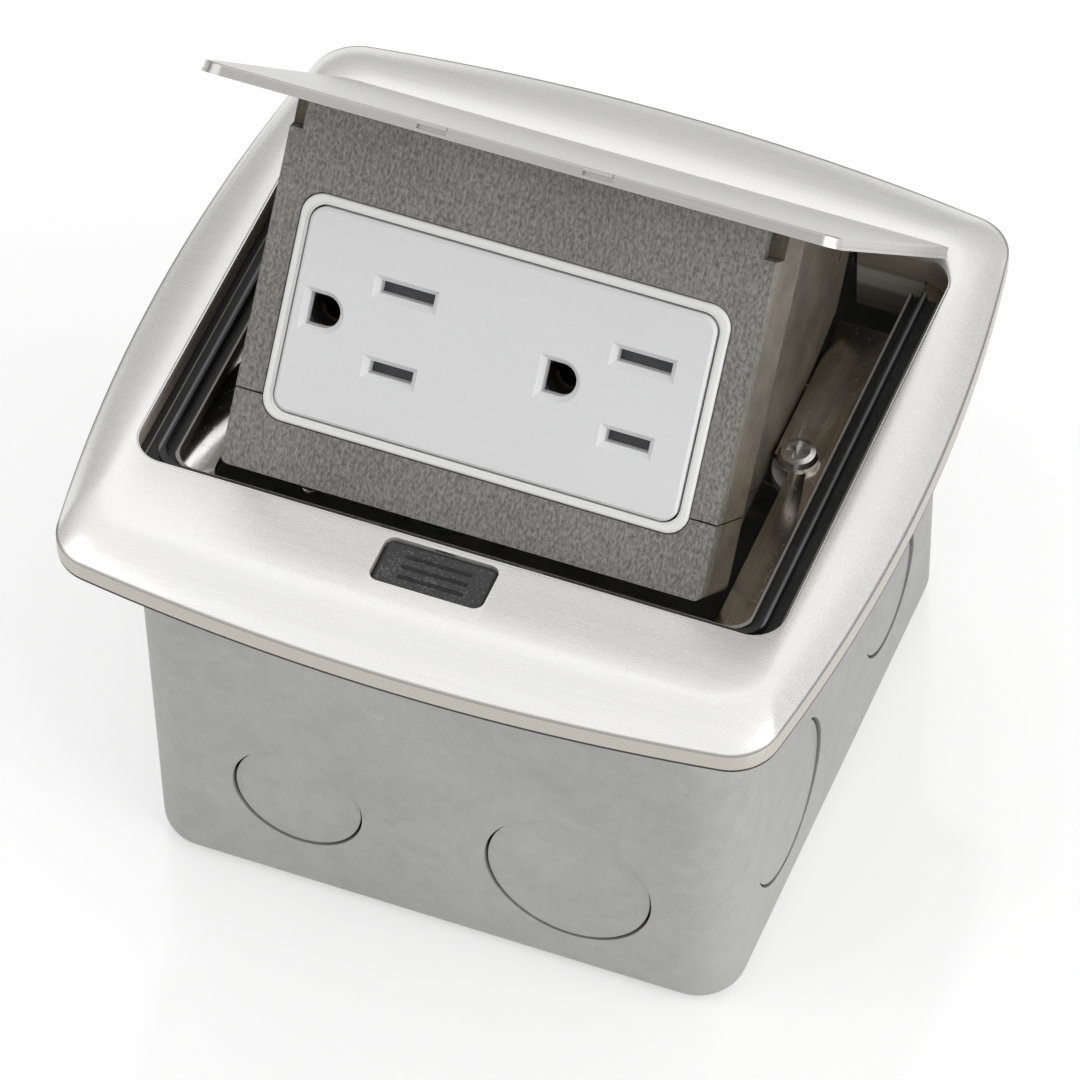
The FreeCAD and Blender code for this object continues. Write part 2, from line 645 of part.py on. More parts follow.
def dome_section(share, inset, drop):
    """One outline of the dome, from the rim at a share of 0 to the opening at 1.

    The rise is a parabola in the share, steep at the rim and level at the opening.
    """
    def between(at_rim, at_mouth):
        return float(at_rim) * (1 - share) + float(at_mouth) * share

    def bulge(at_rim):
        return float(at_rim) / (1 - share + share / 12)

    rise = float(size("flange_dome")) * (1 - (1 - share) ** 2)
    return pillow_outline(between(size("flange_half_width") - inset, size("opening_half_width")),
                          between(size("flange_half_depth") - inset, size("opening_half_depth")),
                          bulge(size("flange_side_radius")), bulge(size("flange_front_radius")),
                          between(size("flange_corner") - inset, size("opening_corner")),
                          between(0, size("opening_back_shift")), float(rim_top) - drop + rise)


def domed_solid(inset, drop, bands):
    """The bulk under the flange's surface, drawn in and lowered, lofted in bands."""
    sections = [dome_section(band / bands, inset, drop) for band in range(bands + 1)]
    dome = Part.makeLoft(sections, True, True)
    foot = sections[0].copy()
    foot.translate(Vector(0, 0, float(flange_foot) - 1 - float(rim_top) + drop))
    base = Part.Face(foot).extrude(Vector(0, 0, float(rim_top) - drop - float(flange_foot) + 1))
    return base.fuse(dome)


opening_outline = centred_outline(size("opening_half_width"), size("opening_half_depth"),
                                  size("opening_corner"), 0, size("opening_back_shift"))
skirt_outline = centred_outline(size("opening_half_width") + size("skirt_wall"),
                                size("opening_half_depth") + size("skirt_wall"),
                                size("opening_corner") + size("skirt_wall"), 0, size("opening_back_shift"))
shell = domed_solid(0, 0, 8).cut(domed_solid(size_value("flange_wall"), size_value("flange_wall"), 3))
below_foot = block((-80, -80, flange_foot - 5), (80, 80, flange_foot))
shell = shell.cut(below_foot)
skirt = slab(skirt_outline, frame_top, flange_top - 0.6)
deep_back = slab(skirt_outline, flange_top - size("skirt_depth_back"), frame_top + 1)
deep_back = deep_back.common(block((-48, opening_back - 1, far_below), (48, 80, far_above)))
skirt = skirt.fuse(deep_back)
hinge_window = block((-size("hinge_pin_half_length") - 0.6, opening_back - 3, far_below),
                     (size("hinge_pin_half_length") + 0.6, opening_back + 5,
                      flange_top - size("flange_wall")))
bosses = [rod(2.8, (x, y, frame_top), (x, y, rim_top + 2.2)) for x, y in boss_places]
flange = shell.fuse([skirt] + [both_sides(boss) for boss in bosses])
flange = flange.cut(slab(opening_outline, far_below, far_above)).cut(hinge_window)
flange = flange.cut([both_sides(rod(1.27, (x, y, frame_top - 1), (x, y, frame_top + 2.6)))
                     for x, y in boss_places])
button_recess = centred_outline(button_x + size("button_gap"), size("button_depth") / 2 + size("button_gap"),
                                size("button_corner") + size("button_gap"), 0, -size("button_ahead"))
nose_high = hinge_height + 4.27
nose_low = nose_high - 0.5
nose_slot = block((latch_arm - 2.3, -40.4, nose_low - 0.12), (latch_arm + 2.3, -36, nose_high + 0.1))
arm_slot = block((latch_arm - 2.3, -41.5, frame_top + 2.4), (latch_arm + 2.3, -38.7, nose_high + 0.1))
flange = flange.cut(slab(button_recess, far_below, far_above)).cut(both_sides(nose_slot)).cut(both_sides(arm_slot))
feature("top_flange", flange)

cover_screw = [pan_screw((x, y, size("box_height")), (0, 0, -1), 1.25, 3.8, 2.0, 1.4) for x, y in boss_places]
feature("cover_screws", both_sides(cover_screw[0].fuse(cover_screw[1])))

# The foam ring under the flange's rim.
gasket_outer = pillow_outline(*[float(value) for value in (
    size("flange_half_width") - size("floor_gasket_inset"),
    size("flange_half_depth") - size("floor_gasket_inset"), size("flange_side_radius"),
    size("flange_front_radius"), size("flange_corner") - size("floor_gasket_inset"))], 0, 0)
gasket_inset = size("floor_gasket_inset") + size("floor_gasket_width")
gasket_inner = pillow_outline(*[float(value) for value in (
    size("flange_half_width") - gasket_inset, size("flange_half_depth") - gasket_inset,
    size("flange_side_radius"), size("flange_front_radius"), 3.0)], 0, 0)
feature("floor_gasket", slab(gasket_outer, size("box_height"), flange_foot).cut(
    slab(gasket_inner, far_below, far_above)))

# The rubber seal stands on the frame along the opening's sides and front.
seal_side = size("opening_half_width") - size("seal_width")
seal_front = opening_front - size("seal_width_front")
seal_end = opening_back - 5.4
seal_outer = rounded_outline(-size("opening_half_width"), size("opening_half_width"), -opening_front,
                             opening_back + 20, size("opening_corner"))
seal_inner = rounded_outline(-seal_side, seal_side, -seal_front, opening_back + 20, 3.6)
ridge_outer = rounded_outline(-seal_side - 2.9, seal_side + 2.9, -seal_front - 1.9, opening_back + 20, 4.4)
ridge_inner = rounded_outline(-seal_side - 2.0, seal_side + 2.0, -seal_front - 1.0, opening_back + 20, 4.0)
lip_outer = rounded_outline(-seal_side - 0.6, seal_side + 0.6, -seal_front - 0.4, opening_back + 20, 3.8)
seal_top = frame_top + size("seal_height")
seal = slab(seal_outer, frame_top, seal_top).cut(slab(seal_inner, far_below, far_above))
seal = seal.fuse(slab(ridge_outer, seal_top - 0.5, seal_top + size("seal_ridge")).cut(slab(ridge_inner, far_below, far_above)))
seal = seal.fuse(slab(lip_outer, seal_top - 0.5, seal_top + 0.4).cut(slab(seal_inner, far_below, far_above)))
seal = seal.cut(block((-80, seal_end, far_below), (80, 90, far_above)))
feature("lid_seal", seal)

# The hinge: a bent bracket behind the bay, a pin and two torsion springs.
pin_y, pin_z = size("hinge_back"), hinge_height
pin_radius = size("hinge_pin_radius")
bracket = block((-36, size("hinge_bay_back") + 0.2, frame_top), (36, 53.4, frame_top + 1.2))
ear_side = profile_solid([(pin_y, pin_z - 2.0), (pin_y + 6.5, frame_top + 0.2), (pin_y + 6.5, frame_top + 1.0),
                          (pin_y + 1.0, pin_z + 2.7), (pin_y, pin_z + 2.7)], -0.8, 1.6)
ear_side = ear_side.fuse(rod(2.9, (-0.8, pin_y, pin_z), (0.8, pin_y, pin_z)))
ear_side = ear_side.cut(block((-2, size("hinge_bay_back") - 0.1, far_below), (2, 70, frame_top)))
for ear_x in (-33.0, -19.0, 19.0, 33.0):
    ear = ear_side.copy()
    ear.translate(Vector(ear_x, 0, 0))
    bracket = bracket.fuse(ear)
bracket = bracket.cut(rod(pin_radius + 0.02, (-40, pin_y, pin_z), (40, pin_y, pin_z)))
feature("hinge_bracket", bracket)
pin_half = size("hinge_pin_half_length")
pin = rod(pin_radius, (-pin_half + 0.4, pin_y, pin_z), (pin_half, pin_y, pin_z))
pin = pin.fuse(rod(2.0, (pin_half - 1.2, pin_y, pin_z), (pin_half, pin_y, pin_z)))
feature("hinge_pin", pin.makeChamfer(0.25, [edge for edge in pin.Edges if edge.BoundBox.XMax < -30]))


hinge_turn = math.radians(float(size("lift_angle")))


def raised(y, z):
    """A point given on the raised lid, seen in the lid's own frame."""
    return (y * math.cos(hinge_turn) - z * math.sin(hinge_turn),
            y * math.sin(hinge_turn) + z * math.cos(hinge_turn))


def torsion_spring(start, turns, way):
    """A coil round the pin with a leg that rises clear of the flange and bends along the lid."""
    wire, coil, pitch = 0.45, 2.1, 0.98
    helix = Part.makeHelix(pitch, pitch * turns, coil)
    ring = Part.Wire(Part.makeCircle(wire, Vector(coil, 0, 0), Vector(0, 1, pitch / 12)))
    body = Part.Wire(helix.Edges).makePipeShell([ring], True, True)
    body.rotate(Vector(0, 0, 0), Vector(0, 1, 0), 90)
    rest = float(lid_underside) - wire - 0.02
    rise = (rest + coil * math.sin(hinge_turn)) / math.cos(hinge_turn)
    foot, bend = raised(-coil, 0), raised(-coil, rise)
    body.rotate(Vector(0, 0, 0), Vector(1, 0, 0), math.degrees(math.atan2(foot[1], foot[0])) + 90)
    leg = rod(wire, (0, *foot), (0, *bend)).fuse(rod(wire, (0, *bend), (0, bend[0] - 6, bend[1])))
    leg = leg.fuse([Part.makeSphere(wire, Vector(0, *foot)), Part.makeSphere(wire, Vector(0, *bend))])
    spring = body.fuse(leg)
    spring.translate(Vector(float(start), 0, 0))
    return spring if way > 0 else mirrored(spring)


springs = [torsion_spring(8.5, 6, 1), torsion_spring(8.5, 6, -1)]
feature("torsion_springs", springs[0].fuse(springs[1]), LID_PLACE)

# The lid: a plate with a thin lip round its front and sides, its back edge bevelled to clear the flange.
lid = new_body("lid_plate")
lip_sketch = sketch_on(lid, "XY_Plane", "lid_lip_outline", lid_underside)
lid_ahead = lid_front + size("hinge_back")
lid_behind = lid_back - size("hinge_back")
draw_rounded_rectangle(lip_sketch, lid_half_width, lid_ahead, lid_behind, size("lid_corner"))
pad(lid, lip_sketch, size("lid_step_height"), "lid_lip")
top_sketch = sketch_on(lid, "XY_Plane", "lid_top_outline", lid_underside + size("lid_step_height"))
draw_rounded_rectangle(top_sketch, lid_half_width - size("lid_step"), lid_ahead - size("lid_step"), lid_behind,
                       size("lid_corner") - size("lid_step"))
pad(lid, top_sketch, size("lid_thickness") - size("lid_step_height"), "lid_top")
document.recompute()
lid_cuts = [profile_solid([(lid_behind - 1.9, lid_underside - 0.1), (lid_behind + 1, lid_underside - 0.1),
                           (lid_behind + 1, size("hinge_drop") - 0.3), (lid_behind, size("hinge_drop") - 0.3)],
                          -70, 140)]
lid_screw_places = [(31.0, -53.0), (31.0, -22.0)]
lid_cuts += [both_sides(rod(1.52, (x, y, lid_underside - 1), (x, y, lid_underside + 1.3)))
             for x, y in lid_screw_places]
# Two notches in the upper layer let the latch's noses lie on the lip.
catch_half = latch_nose_half + 0.4
catch = block((latch_arm - catch_half, -lid_ahead - 1, lid_underside + size("lid_step_height")),
              (latch_arm + catch_half, -lid_ahead + size("lid_catch_depth"), size("hinge_drop") + 1))
lid_cuts.append(both_sides(catch))
upper_edges = [edge for edge in lid.Shape.Edges
               if edge.BoundBox.ZMin > float(size("hinge_drop")) - 0.001
               and edge.BoundBox.YMin < float(lid_behind) - 0.001]
rounded_lid = document.addObject("Part::Feature", "rounded_lid")
rounded_lid.Shape = lid.Shape.makeFillet(size_value("lid_edge_round"), upper_edges)
cut_away("lid_plate", rounded_lid, lid_cuts, LID_PLACE)

# The castings of the carrier, drawn in the frame of the outlet's face.
rim_depth = size("rim_depth")
face_bottom, seam = size("face_bottom"), size("seam_drop")
face_half, cheek_half = size("face_half_width"), size("cheek_half_width")
cheek_inside = cheek_half - size("cheek_wall")
window_gap = 0.2


def in_face_frame(shape):
    """A shape drawn in the lid's frame, moved into the frame of the face."""
    moved = shape.copy()
    moved.transformShape(TO_FACE.toMatrix(), True)
    return moved


def face_wire(half_width, bottom, top, depth, radius):
    """A rectangle in the face's plane with its lower corners rounded."""
    half_width, bottom, top = float(half_width), float(bottom), float(top)
    depth, radius = float(depth), float(radius)
    turn = radius * (1 - math.sqrt(0.5))
    points = [Vector(-half_width, depth, top), Vector(-half_width, depth, bottom + radius),
              Vector(-half_width + turn, depth, bottom + turn), Vector(-half_width + radius, depth, bottom),
              Vector(half_width - radius, depth, bottom), Vector(half_width - turn, depth, bottom + turn),
              Vector(half_width, depth, bottom + radius), Vector(half_width, depth, top)]
    return Part.Wire([Part.LineSegment(points[0], points[1]).toShape(),
                      Part.Arc(points[1], points[2], points[3]).toShape(),
                      Part.LineSegment(points[3], points[4]).toShape(),
                      Part.Arc(points[4], points[5], points[6]).toShape(),
                      Part.LineSegment(points[6], points[7]).toShape(),
                      Part.LineSegment(points[7], points[0]).toShape()])


rim = Part.makeLoft([face_wire(face_half, -face_bottom, 40, 0, 1.2),
                     face_wire(rim_half_width, -face_bottom, 40, rim_depth, 1.2)], True, True)
rim_inside = block((-cheek_inside, size("face_plate"), -face_bottom + 2.2), (cheek_inside, rim_depth + 1, 45))
tab_room = block((-39.1, size("face_plate"), -7.5), (39.1, rim_depth + 1, 7.5))
window = centred_outline(size("bezel_width") / 2 + window_gap, size("bezel_height") / 2 + window_gap,
                         size("bezel_corner") + window_gap)
window_hole = Part.Face(window).extrude(Vector(0, 0, 12))
window_hole.rotate(Vector(0, 0, 0), Vector(1, 0, 0), 90)
window_hole.translate(Vector(0, 10, 0))
under_lid = in_face_frame(block((-60, -90, -120), (60, 10, lid_underside)))
lid_space = in_face_frame(block((-60, -120, lid_underside), (60, 20, 60)))


def cheek_outline():
    """The side wall's outline: along the lid, down its back edge and forward below the housing."""
    top_front = TO_FACE.multVec(Vector(0, -66.5, float(lid_underside)))
    top_back = TO_FACE.multVec(Vector(0, -13.0, float(lid_underside)))
    low_back = TO_FACE.multVec(Vector(0, -10.5, -9.0))
    heel = TO_FACE.multVec(Vector(0, -15.0, -17.5))
    return [(3.0, top_front.z - 1), (top_back.y, top_back.z), (low_back.y, low_back.z), (heel.y, heel.z),
            (21.0, -float(face_bottom) + 5.0), (3.0, -float(face_bottom) + 0.6)]


cheek = profile_solid(cheek_outline(), cheek_inside, size("cheek_wall"))
slot_tool = in_face_frame(block((cheek_inside - 1, -18.4, -1.2), (cheek_half + 1, -17.5, lid_underside + 1)))
cheek = cheek.cut(slot_tool)
roof = in_face_frame(block((-cheek_half, -63.0, lid_underside - 1.8), (cheek_half, -13.0, lid_underside)))
arm_points = [raised(0.0, 1.9), raised(-3.2, 1.9), raised(-3.2, 8.6), raised(-7.0, 13.0), raised(-9.5, 13.0),
              raised(-6.5, -0.6), raised(-5.4, -1.7), raised(0.0, -1.9)]
arm_start = size("arm_spread") - size("arm_width") / 2
arm = profile_solid(arm_points, arm_start, size("arm_width"))
arm = arm.fuse(rod(size("hinge_knuckle_radius"), (arm_start, 0, 0), (arm_start + size("arm_width"), 0, 0)))
arm = arm.common(block((0, -30, -20), (60, 20, lid_underside)))
arm_rib = block((arm_start + 2, -18, lid_underside - 6), (arm_start + 4, -9.5, lid_underside))
arm = in_face_frame(arm.fuse(arm_rib).cut(rod(pin_radius + size("hinge_clearance"), (0, 0, 0), (60, 0, 0))))
lid_bosses = [in_face_frame(rod(3.0, (x, y, lid_underside - 3.4), (x, y, lid_underside))) for x, y in lid_screw_places]
screw_ways = [in_face_frame(rod(1.8, (x, y, lid_underside - 10), (x, y, lid_underside + 1)))
              for x, y in lid_screw_places]
corner_notch = block((37.6, -1, 27.1), (45, 3.0, 36))
corner_slit = block((38.9, 3.6, 24.5), (39.8, 8.4, 45))
casting = rim.cut(rim_inside).fuse([both_sides(cheek), roof, both_sides(arm)] + [both_sides(boss) for boss in lid_bosses])
casting = casting.cut(tab_room).cut(window_hole).cut(lid_space)
strap_screw_x = 37.0
strap_holes = both_sides(rod(1.02, (strap_screw_x, 1.0, 0), (strap_screw_x, 12, 0)))
for cut in [both_sides(way) for way in screw_ways] + [both_sides(corner_notch), both_sides(corner_slit), strap_holes]:
    casting = casting.cut(cut)
below_seam = block((-60, -5, -60), (60, 80, -seam))
above_seam = block((-60, -5, -seam - size("seam_gap")), (60, 80, 60))
sill_screw_x = cheek_inside - 1.8
post_side = cheek_inside - 3.6
post = block((post_side, 10.0, -seam), (cheek_inside + 0.1, 18.0, -seam + 6.0))
post = post.cut(rod(0.92, (sill_screw_x, 14, -seam - 1), (sill_screw_x, 14, -seam + 5)))
feature("carrier_face", casting.cut(below_seam).fuse(both_sides(post)), FACE_PLACE)

# The lower casting closes the carrier below the seam, with a floor under the outlet's housing.
tray_floor = profile_solid([(0.5, -face_bottom), (20.0, -face_bottom + 4.2), (20.0, -face_bottom + 6.0),
                            (3.0, -face_bottom + 2.4)], -cheek_inside - 0.5, 2 * cheek_inside + 1)
tray_ribs = [block((x - 0.8, 2.0, -face_bottom + 1.0), (x + 0.8, 7.0, -19.6)) for x in (12.0, 28.0)]
sill = casting.cut(above_seam).fuse([tray_floor] + [both_sides(rib) for rib in tray_ribs])
sill_boss = block((post_side, 10.0, -20.0), (cheek_inside + 0.1, 18.0, -seam - size("seam_gap")))
sill_hole = rod(1.2, (sill_screw_x, 14, -40), (sill_screw_x, 14, -seam + 0.1))
sill_way = rod(1.9, (sill_screw_x, 14, -40), (sill_screw_x, 14, -20.0))
sill = sill.fuse(both_sides(sill_boss)).cut(both_sides(sill_hole)).cut(both_sides(sill_way))
feature("carrier_sill", sill, FACE_PLACE)
sill_screw = pan_screw((sill_screw_x, 14, -20.0), (0, 0, -1), 0.9, 9.0, 1.6, 1.3)
feature("sill_screws", both_sides(sill_screw), FACE_PLACE)
lid_screw = [pan_screw((x, y, lid_underside - 3.4), (0, 0, -1), 1.5, 4.6, 2.6, 1.8) for x, y in lid_screw_places]
feature("lid_screws", both_sides(lid_screw[0].fuse(lid_screw[1])), LID_PLACE)

# The outlet: bezel, face plate with its slots, housing, contacts, strap and terminal screws.


def upright(outline, front, back):
    """An outline in the face's plane made into a solid between two depths."""
    solid = slab(outline, 0, float(back) - float(front))
    solid.rotate(Vector(0, 0, 0), Vector(1, 0, 0), 90)
    solid.translate(Vector(0, float(back), 0))
    return solid


def front_edges(shape, depth):
    """The edges of a shape that lie in a plane across its depth."""
    return [edge for edge in shape.Edges
            if abs(edge.BoundBox.YMin - float(depth)) < 0.001 and abs(edge.BoundBox.YMax - float(depth)) < 0.001]


def flared(wire_at, wide, narrow, front, depth):
    """A hole that narrows behind its mouth and then runs straight through."""
    front, depth = float(front), float(depth)
    mouth, throat, end = wire_at(wide, front - 0.01), wire_at(narrow, front + depth), wire_at(narrow, front + 6)
    return Part.makeLoft([mouth, throat], True, True).fuse(Part.makeLoft([throat, end], True, True))


def slot_wire(u, v, half_length, half_width):
    """A maker of rectangles about a slot's middle, at any depth and width of bevel."""
    def at(bevel, depth):
        long_half, short_half = half_length + bevel, half_width + bevel
        corners = [Vector(u + sx * long_half, depth, v + sz * short_half)
                   for sx, sz in ((-1, -1), (1, -1), (1, 1), (-1, 1))]
        return Part.makePolygon(corners + corners[:1])
    return at


def earth_wire(u, v, radius):
    """A maker of D-shaped outlines with the flat side to the left."""
    def at(bevel, depth):
        reach = radius + bevel
        top, bottom = Vector(u, depth, v + reach), Vector(u, depth, v - reach)
        left_top, left_bottom = Vector(u - reach, depth, v + reach), Vector(u - reach, depth, v - reach)
        return Part.Wire([Part.LineSegment(left_bottom, bottom).toShape(),
                          Part.Arc(bottom, Vector(u + reach, depth, v), top).toShape(),
                          Part.LineSegment(top, left_top).toShape(),
                          Part.LineSegment(left_top, left_bottom).toShape()])
    return at


bezel_half_width, bezel_half_height = size("bezel_width") / 2, size("bezel_height") / 2
outlet_half_width, outlet_half_height = size("outlet_width") / 2, size("outlet_height") / 2
bezel = upright(centred_outline(bezel_half_width, bezel_half_height, size("bezel_corner")),
                -size("bezel_proud"), size("face_plate") + 0.5)
bezel = bezel.makeFillet(0.55, front_edges(bezel, -size("bezel_proud")))
bezel = bezel.fuse(upright(centred_outline(bezel_half_width + 0.5, bezel_half_height + 0.5, 3.8),
                           size("face_plate"), size("face_plate") + 1.5))
bezel_hole = upright(centred_outline(outlet_half_width + 0.35, outlet_half_height + 0.35, size("outlet_corner") + 0.35),
                     -5, 10)
groove_outer = centred_outline(outlet_half_width + 0.75, outlet_half_height + 0.75, size("outlet_corner") + 0.75)
bezel = bezel.cut(bezel_hole).cut(upright(groove_outer, -2, -size("bezel_proud") + 0.3))
feature("outlet_bezel", bezel, FACE_PLACE)

outlet_front = -size("outlet_proud")
outlet_back = outlet_front + size("outlet_plate")
outlet = upright(centred_outline(outlet_half_width, outlet_half_height, size("outlet_corner")), outlet_front, outlet_back)
outlet = outlet.makeChamfer(0.45, front_edges(outlet, outlet_front))
lift = size_value("outlet_lift")
half_spacing = size_value("outlet_spacing") / 2
half_blades = size_value("blade_spacing") / 2
blade_x, earth_x = size_value("blade_offset"), -size_value("earth_offset")
slot_half, bevel = size_value("slot_width") / 2, size_value("slot_bevel")
for middle in (-half_spacing, half_spacing):
    outlet_holes = [slot_wire(middle + blade_x, lift + half_blades, size_value("neutral_slot_length") / 2, slot_half),
                    slot_wire(middle + blade_x, lift - half_blades, size_value("line_slot_length") / 2, slot_half),
                    earth_wire(middle + earth_x, lift, size_value("earth_radius"))]
    for wire_at in outlet_holes:
        outlet = outlet.cut(flared(wire_at, bevel, 0, outlet_front, 1.1))
feature("outlet_face", outlet, FACE_PLACE)

housing_half_width, housing_half_height = 32.0, size("housing_height") / 2
housing_back = outlet_back + size("housing_depth")
housing = upright(centred_outline(housing_half_width, housing_half_height, 2.0), outlet_back, housing_back)
travel = size_value("shutter_travel")
shutter_half_width, shutter_half_height = 5.6, 9.2
pocket_floor = outlet_back + 16.6
for middle in (-half_spacing, half_spacing):
    x = middle + blade_x
    housing = housing.cut(block((x - shutter_half_width - 0.3, outlet_back - 1, lift - shutter_half_height - 0.3),
                                (x + shutter_half_width + 0.3, outlet_back + size("shutter_thickness") + 0.4,
                                 lift + shutter_half_height + travel + 0.3)))
    housing = housing.cut(rod(3.0, (middle + earth_x, outlet_back - 1, lift), (middle + earth_x, pocket_floor, lift)))
    for side in (-1, 1):
        low, high = sorted((lift + side * (half_blades - 1.9), lift + side * (half_blades + 5.2)), key=float)
        housing = housing.cut(block((x - 5.0, outlet_back + 1, low), (x + 5.0, pocket_floor, high)))
for side in (-1, 1):
    low, high = sorted((lift + side * (half_blades + 3.9), lift + side * (half_blades + 5.2)), key=float)
    housing = housing.cut(block((-half_spacing - 2, outlet_back + 9, low), (half_spacing + 8, pocket_floor, high)))
housing = housing.cut(block((-half_spacing + earth_x - 1, pocket_floor - 1.2, lift - 1.7),
                            (half_spacing + earth_x + 1, pocket_floor, lift + 1.7)))
terminal_depth = outlet_back + 12.5
terminal_places = [(-10.0, 1), (10.0, 1), (-10.0, -1), (10.0, -1)]
terminals = []
for x, side in terminal_places:
    recess = rod(3.9, (x, terminal_depth, side * (housing_half_height - 1.0)),
                 (x, terminal_depth, side * (housing_half_height + 1.0)))
    hole = rod(1.72, (x, terminal_depth, side * 11.0), (x, terminal_depth, side * (housing_half_height + 1)))
    housing = housing.cut(recess).cut(hole)
    terminals.append(pan_screw((x, terminal_depth, side * (housing_half_height - 1.0)), (0, 0, side),
                               1.7, 2.6, 3.5, 2.0))
feature("outlet_body", housing, FACE_PLACE)
feature("terminal_screws", terminals[0].fuse(terminals[1:]), FACE_PLACE)

leaf = size("contact_sheet")


def blade_contacts(side, half_length):
    """A bus bar with a pair of spring leaves behind each blade slot of one polarity."""
    middle_v = lift + side * half_blades
    bar_low, bar_high = sorted((middle_v + side * 4.3, middle_v + side * (4.3 + leaf)), key=float)
    parts = [block((-half_spacing - 1, terminal_depth - 2.6, bar_low),
                   (half_spacing + 7, pocket_floor - 0.4, bar_high))]
    for middle in (-half_spacing, half_spacing):
        x = middle + blade_x
        foot_low, foot_high = sorted((middle_v - side * 1.25, middle_v + side * 4.5), key=float)
        parts.append(block((x - half_length, pocket_floor - 0.4 - leaf, foot_low),
                           (x + half_length, pocket_floor - 0.4, foot_high)))
        for way in (-1, 1):
            near, far = middle_v + way * 0.65, middle_v + way * (0.65 + float(leaf))
            mouth_near, mouth_far = middle_v + way * 1.1, middle_v + way * (1.1 + float(leaf))
            spring_profile = [(pocket_floor - 0.5, near), (outlet_back + 6.0, near), (outlet_back + 4.0, mouth_near),
                              (outlet_back + 4.0, mouth_far), (outlet_back + 6.0, far), (pocket_floor - 0.5, far)]
            parts.append(profile_solid(spring_profile, x - half_length, 2 * half_length))
    return parts[0].fuse(parts[1:])


feature("neutral_contacts", blade_contacts(1, 3.9), FACE_PLACE)
feature("line_contacts", blade_contacts(-1, 3.2), FACE_PLACE)
earth_parts = [block((-half_spacing + earth_x, pocket_floor - 0.4 - leaf, lift - 1.5),
                     (half_spacing + earth_x, pocket_floor - 0.4, lift + 1.5))]
for middle in (-half_spacing, half_spacing):
    x = middle + earth_x
    sleeve = rod(2.9, (x, outlet_back + 5, lift), (x, pocket_floor - 0.4, lift))
    sleeve = sleeve.cut(rod(2.9 - leaf, (x, outlet_back + 4, lift), (x, pocket_floor - 0.4 - leaf, lift)))
    slit = block((x - 4, outlet_back + 4, lift - 0.5), (x, pocket_floor - 3.0, lift + 0.5))
    earth_parts.append(sleeve.cut(slit))
feature("earth_contacts", earth_parts[0].fuse(earth_parts[1:]), FACE_PLACE)

strap_sheet = 1.2
strap_side = housing_half_width + 0.1
strap_front = size("face_plate") + 1.5
strap = block((strap_side, strap_front, -6.5), (38.8, strap_front + strap_sheet, 6.5))
strap = strap.fuse(block((strap_side, strap_front, -6.5), (strap_side + strap_sheet, housing_back + 0.1, 6.5)))
strap = both_sides(strap).fuse(block((-strap_side - strap_sheet, housing_back + 0.1, -6.5),
                                     (strap_side + strap_sheet, housing_back + 0.1 + strap_sheet, 6.5)))
strap_corners = [edge for edge in strap.Edges if abs(abs(edge.CenterOfMass.x) - strap_side - strap_sheet) < 0.01
                 and abs(edge.CenterOfMass.y - float(housing_back) - 0.1 - strap_sheet) < 0.01
                 and abs(edge.CenterOfMass.z) < 0.01]
strap = strap.makeFillet(1.1, strap_corners)
strap = strap.cut(both_sides(rod(1.25, (strap_screw_x, 0, 0), (strap_screw_x, 10, 0))))
feature("outlet_strap", strap, FACE_PLACE)
strap_screw = pan_screw((strap_screw_x, strap_front + strap_sheet, 0), (0, 1, 0), 1.0, 4.3, 1.9, 1.3)
feature("strap_screws", both_sides(strap_screw), FACE_PLACE)


def shutter(label, middle):
    """A plate behind one outlet's slots, with windows that meet them once it has moved up."""
    x = middle + blade_x
    front = outlet_back + 0.15
    plate = block((x - shutter_half_width, front, lift - shutter_half_height),
                  (x + shutter_half_width, front + size("shutter_thickness"), lift + shutter_half_height))
    for side in (-1, 1):
        v = lift + side * half_blades - travel
        plate = plate.cut(block((x - 4.7, front - 1, v - 1.2), (x + 4.7, front + 3, v + 1.2)))
    ramps = [profile_solid([(front + 0.1, lift + side * half_blades + 1.1), (front - 0.0, lift + side * half_blades + 1.1),
                            (front + 1.2, lift + side * half_blades - 1.1)], x - 3.0, 6.0) for side in (-1, 1)]
    return feature(label, plate.fuse(ramps), FACE_PLACE)


shutter("shutter_left", -half_spacing)
shutter("shutter_right", half_spacing)

# The release: a sprung button in a guide, and the latch that it draws forward.
button_y = -size("button_ahead")
stem_half_width, stem_half_depth = 6.0, 2.1
guide_low = float(frame_top) - 8.1
spring_low = guide_low + 1.0
guide = block((-8.4, -46.6, guide_low), (8.4, -39.4, frame_top + 0.1))
guide = guide.fuse(block((-19.5, -50.5, frame_top), (19.5, -39.0, frame_top + 0.8)))
guide = guide.cut(block((-stem_half_width - 0.3, button_y - stem_half_depth - 0.3, spring_low),
                        (stem_half_width + 0.3, button_y + stem_half_depth + 0.3, far_above)))
guide = guide.cut(block((-4.9, button_y - stem_half_depth - 1.9, frame_top), (4.9, button_y, far_above)))
guide = guide.fuse(rod(0.8, (0, button_y, spring_low - 0.1), (0, button_y, spring_low + 1.5)))
runners = [block((17.6, -50.0, frame_top + 0.7), (19.0, -40.0, frame_top + 2.4))]
feature("button_guide", guide.fuse(both_sides(runners[0])))

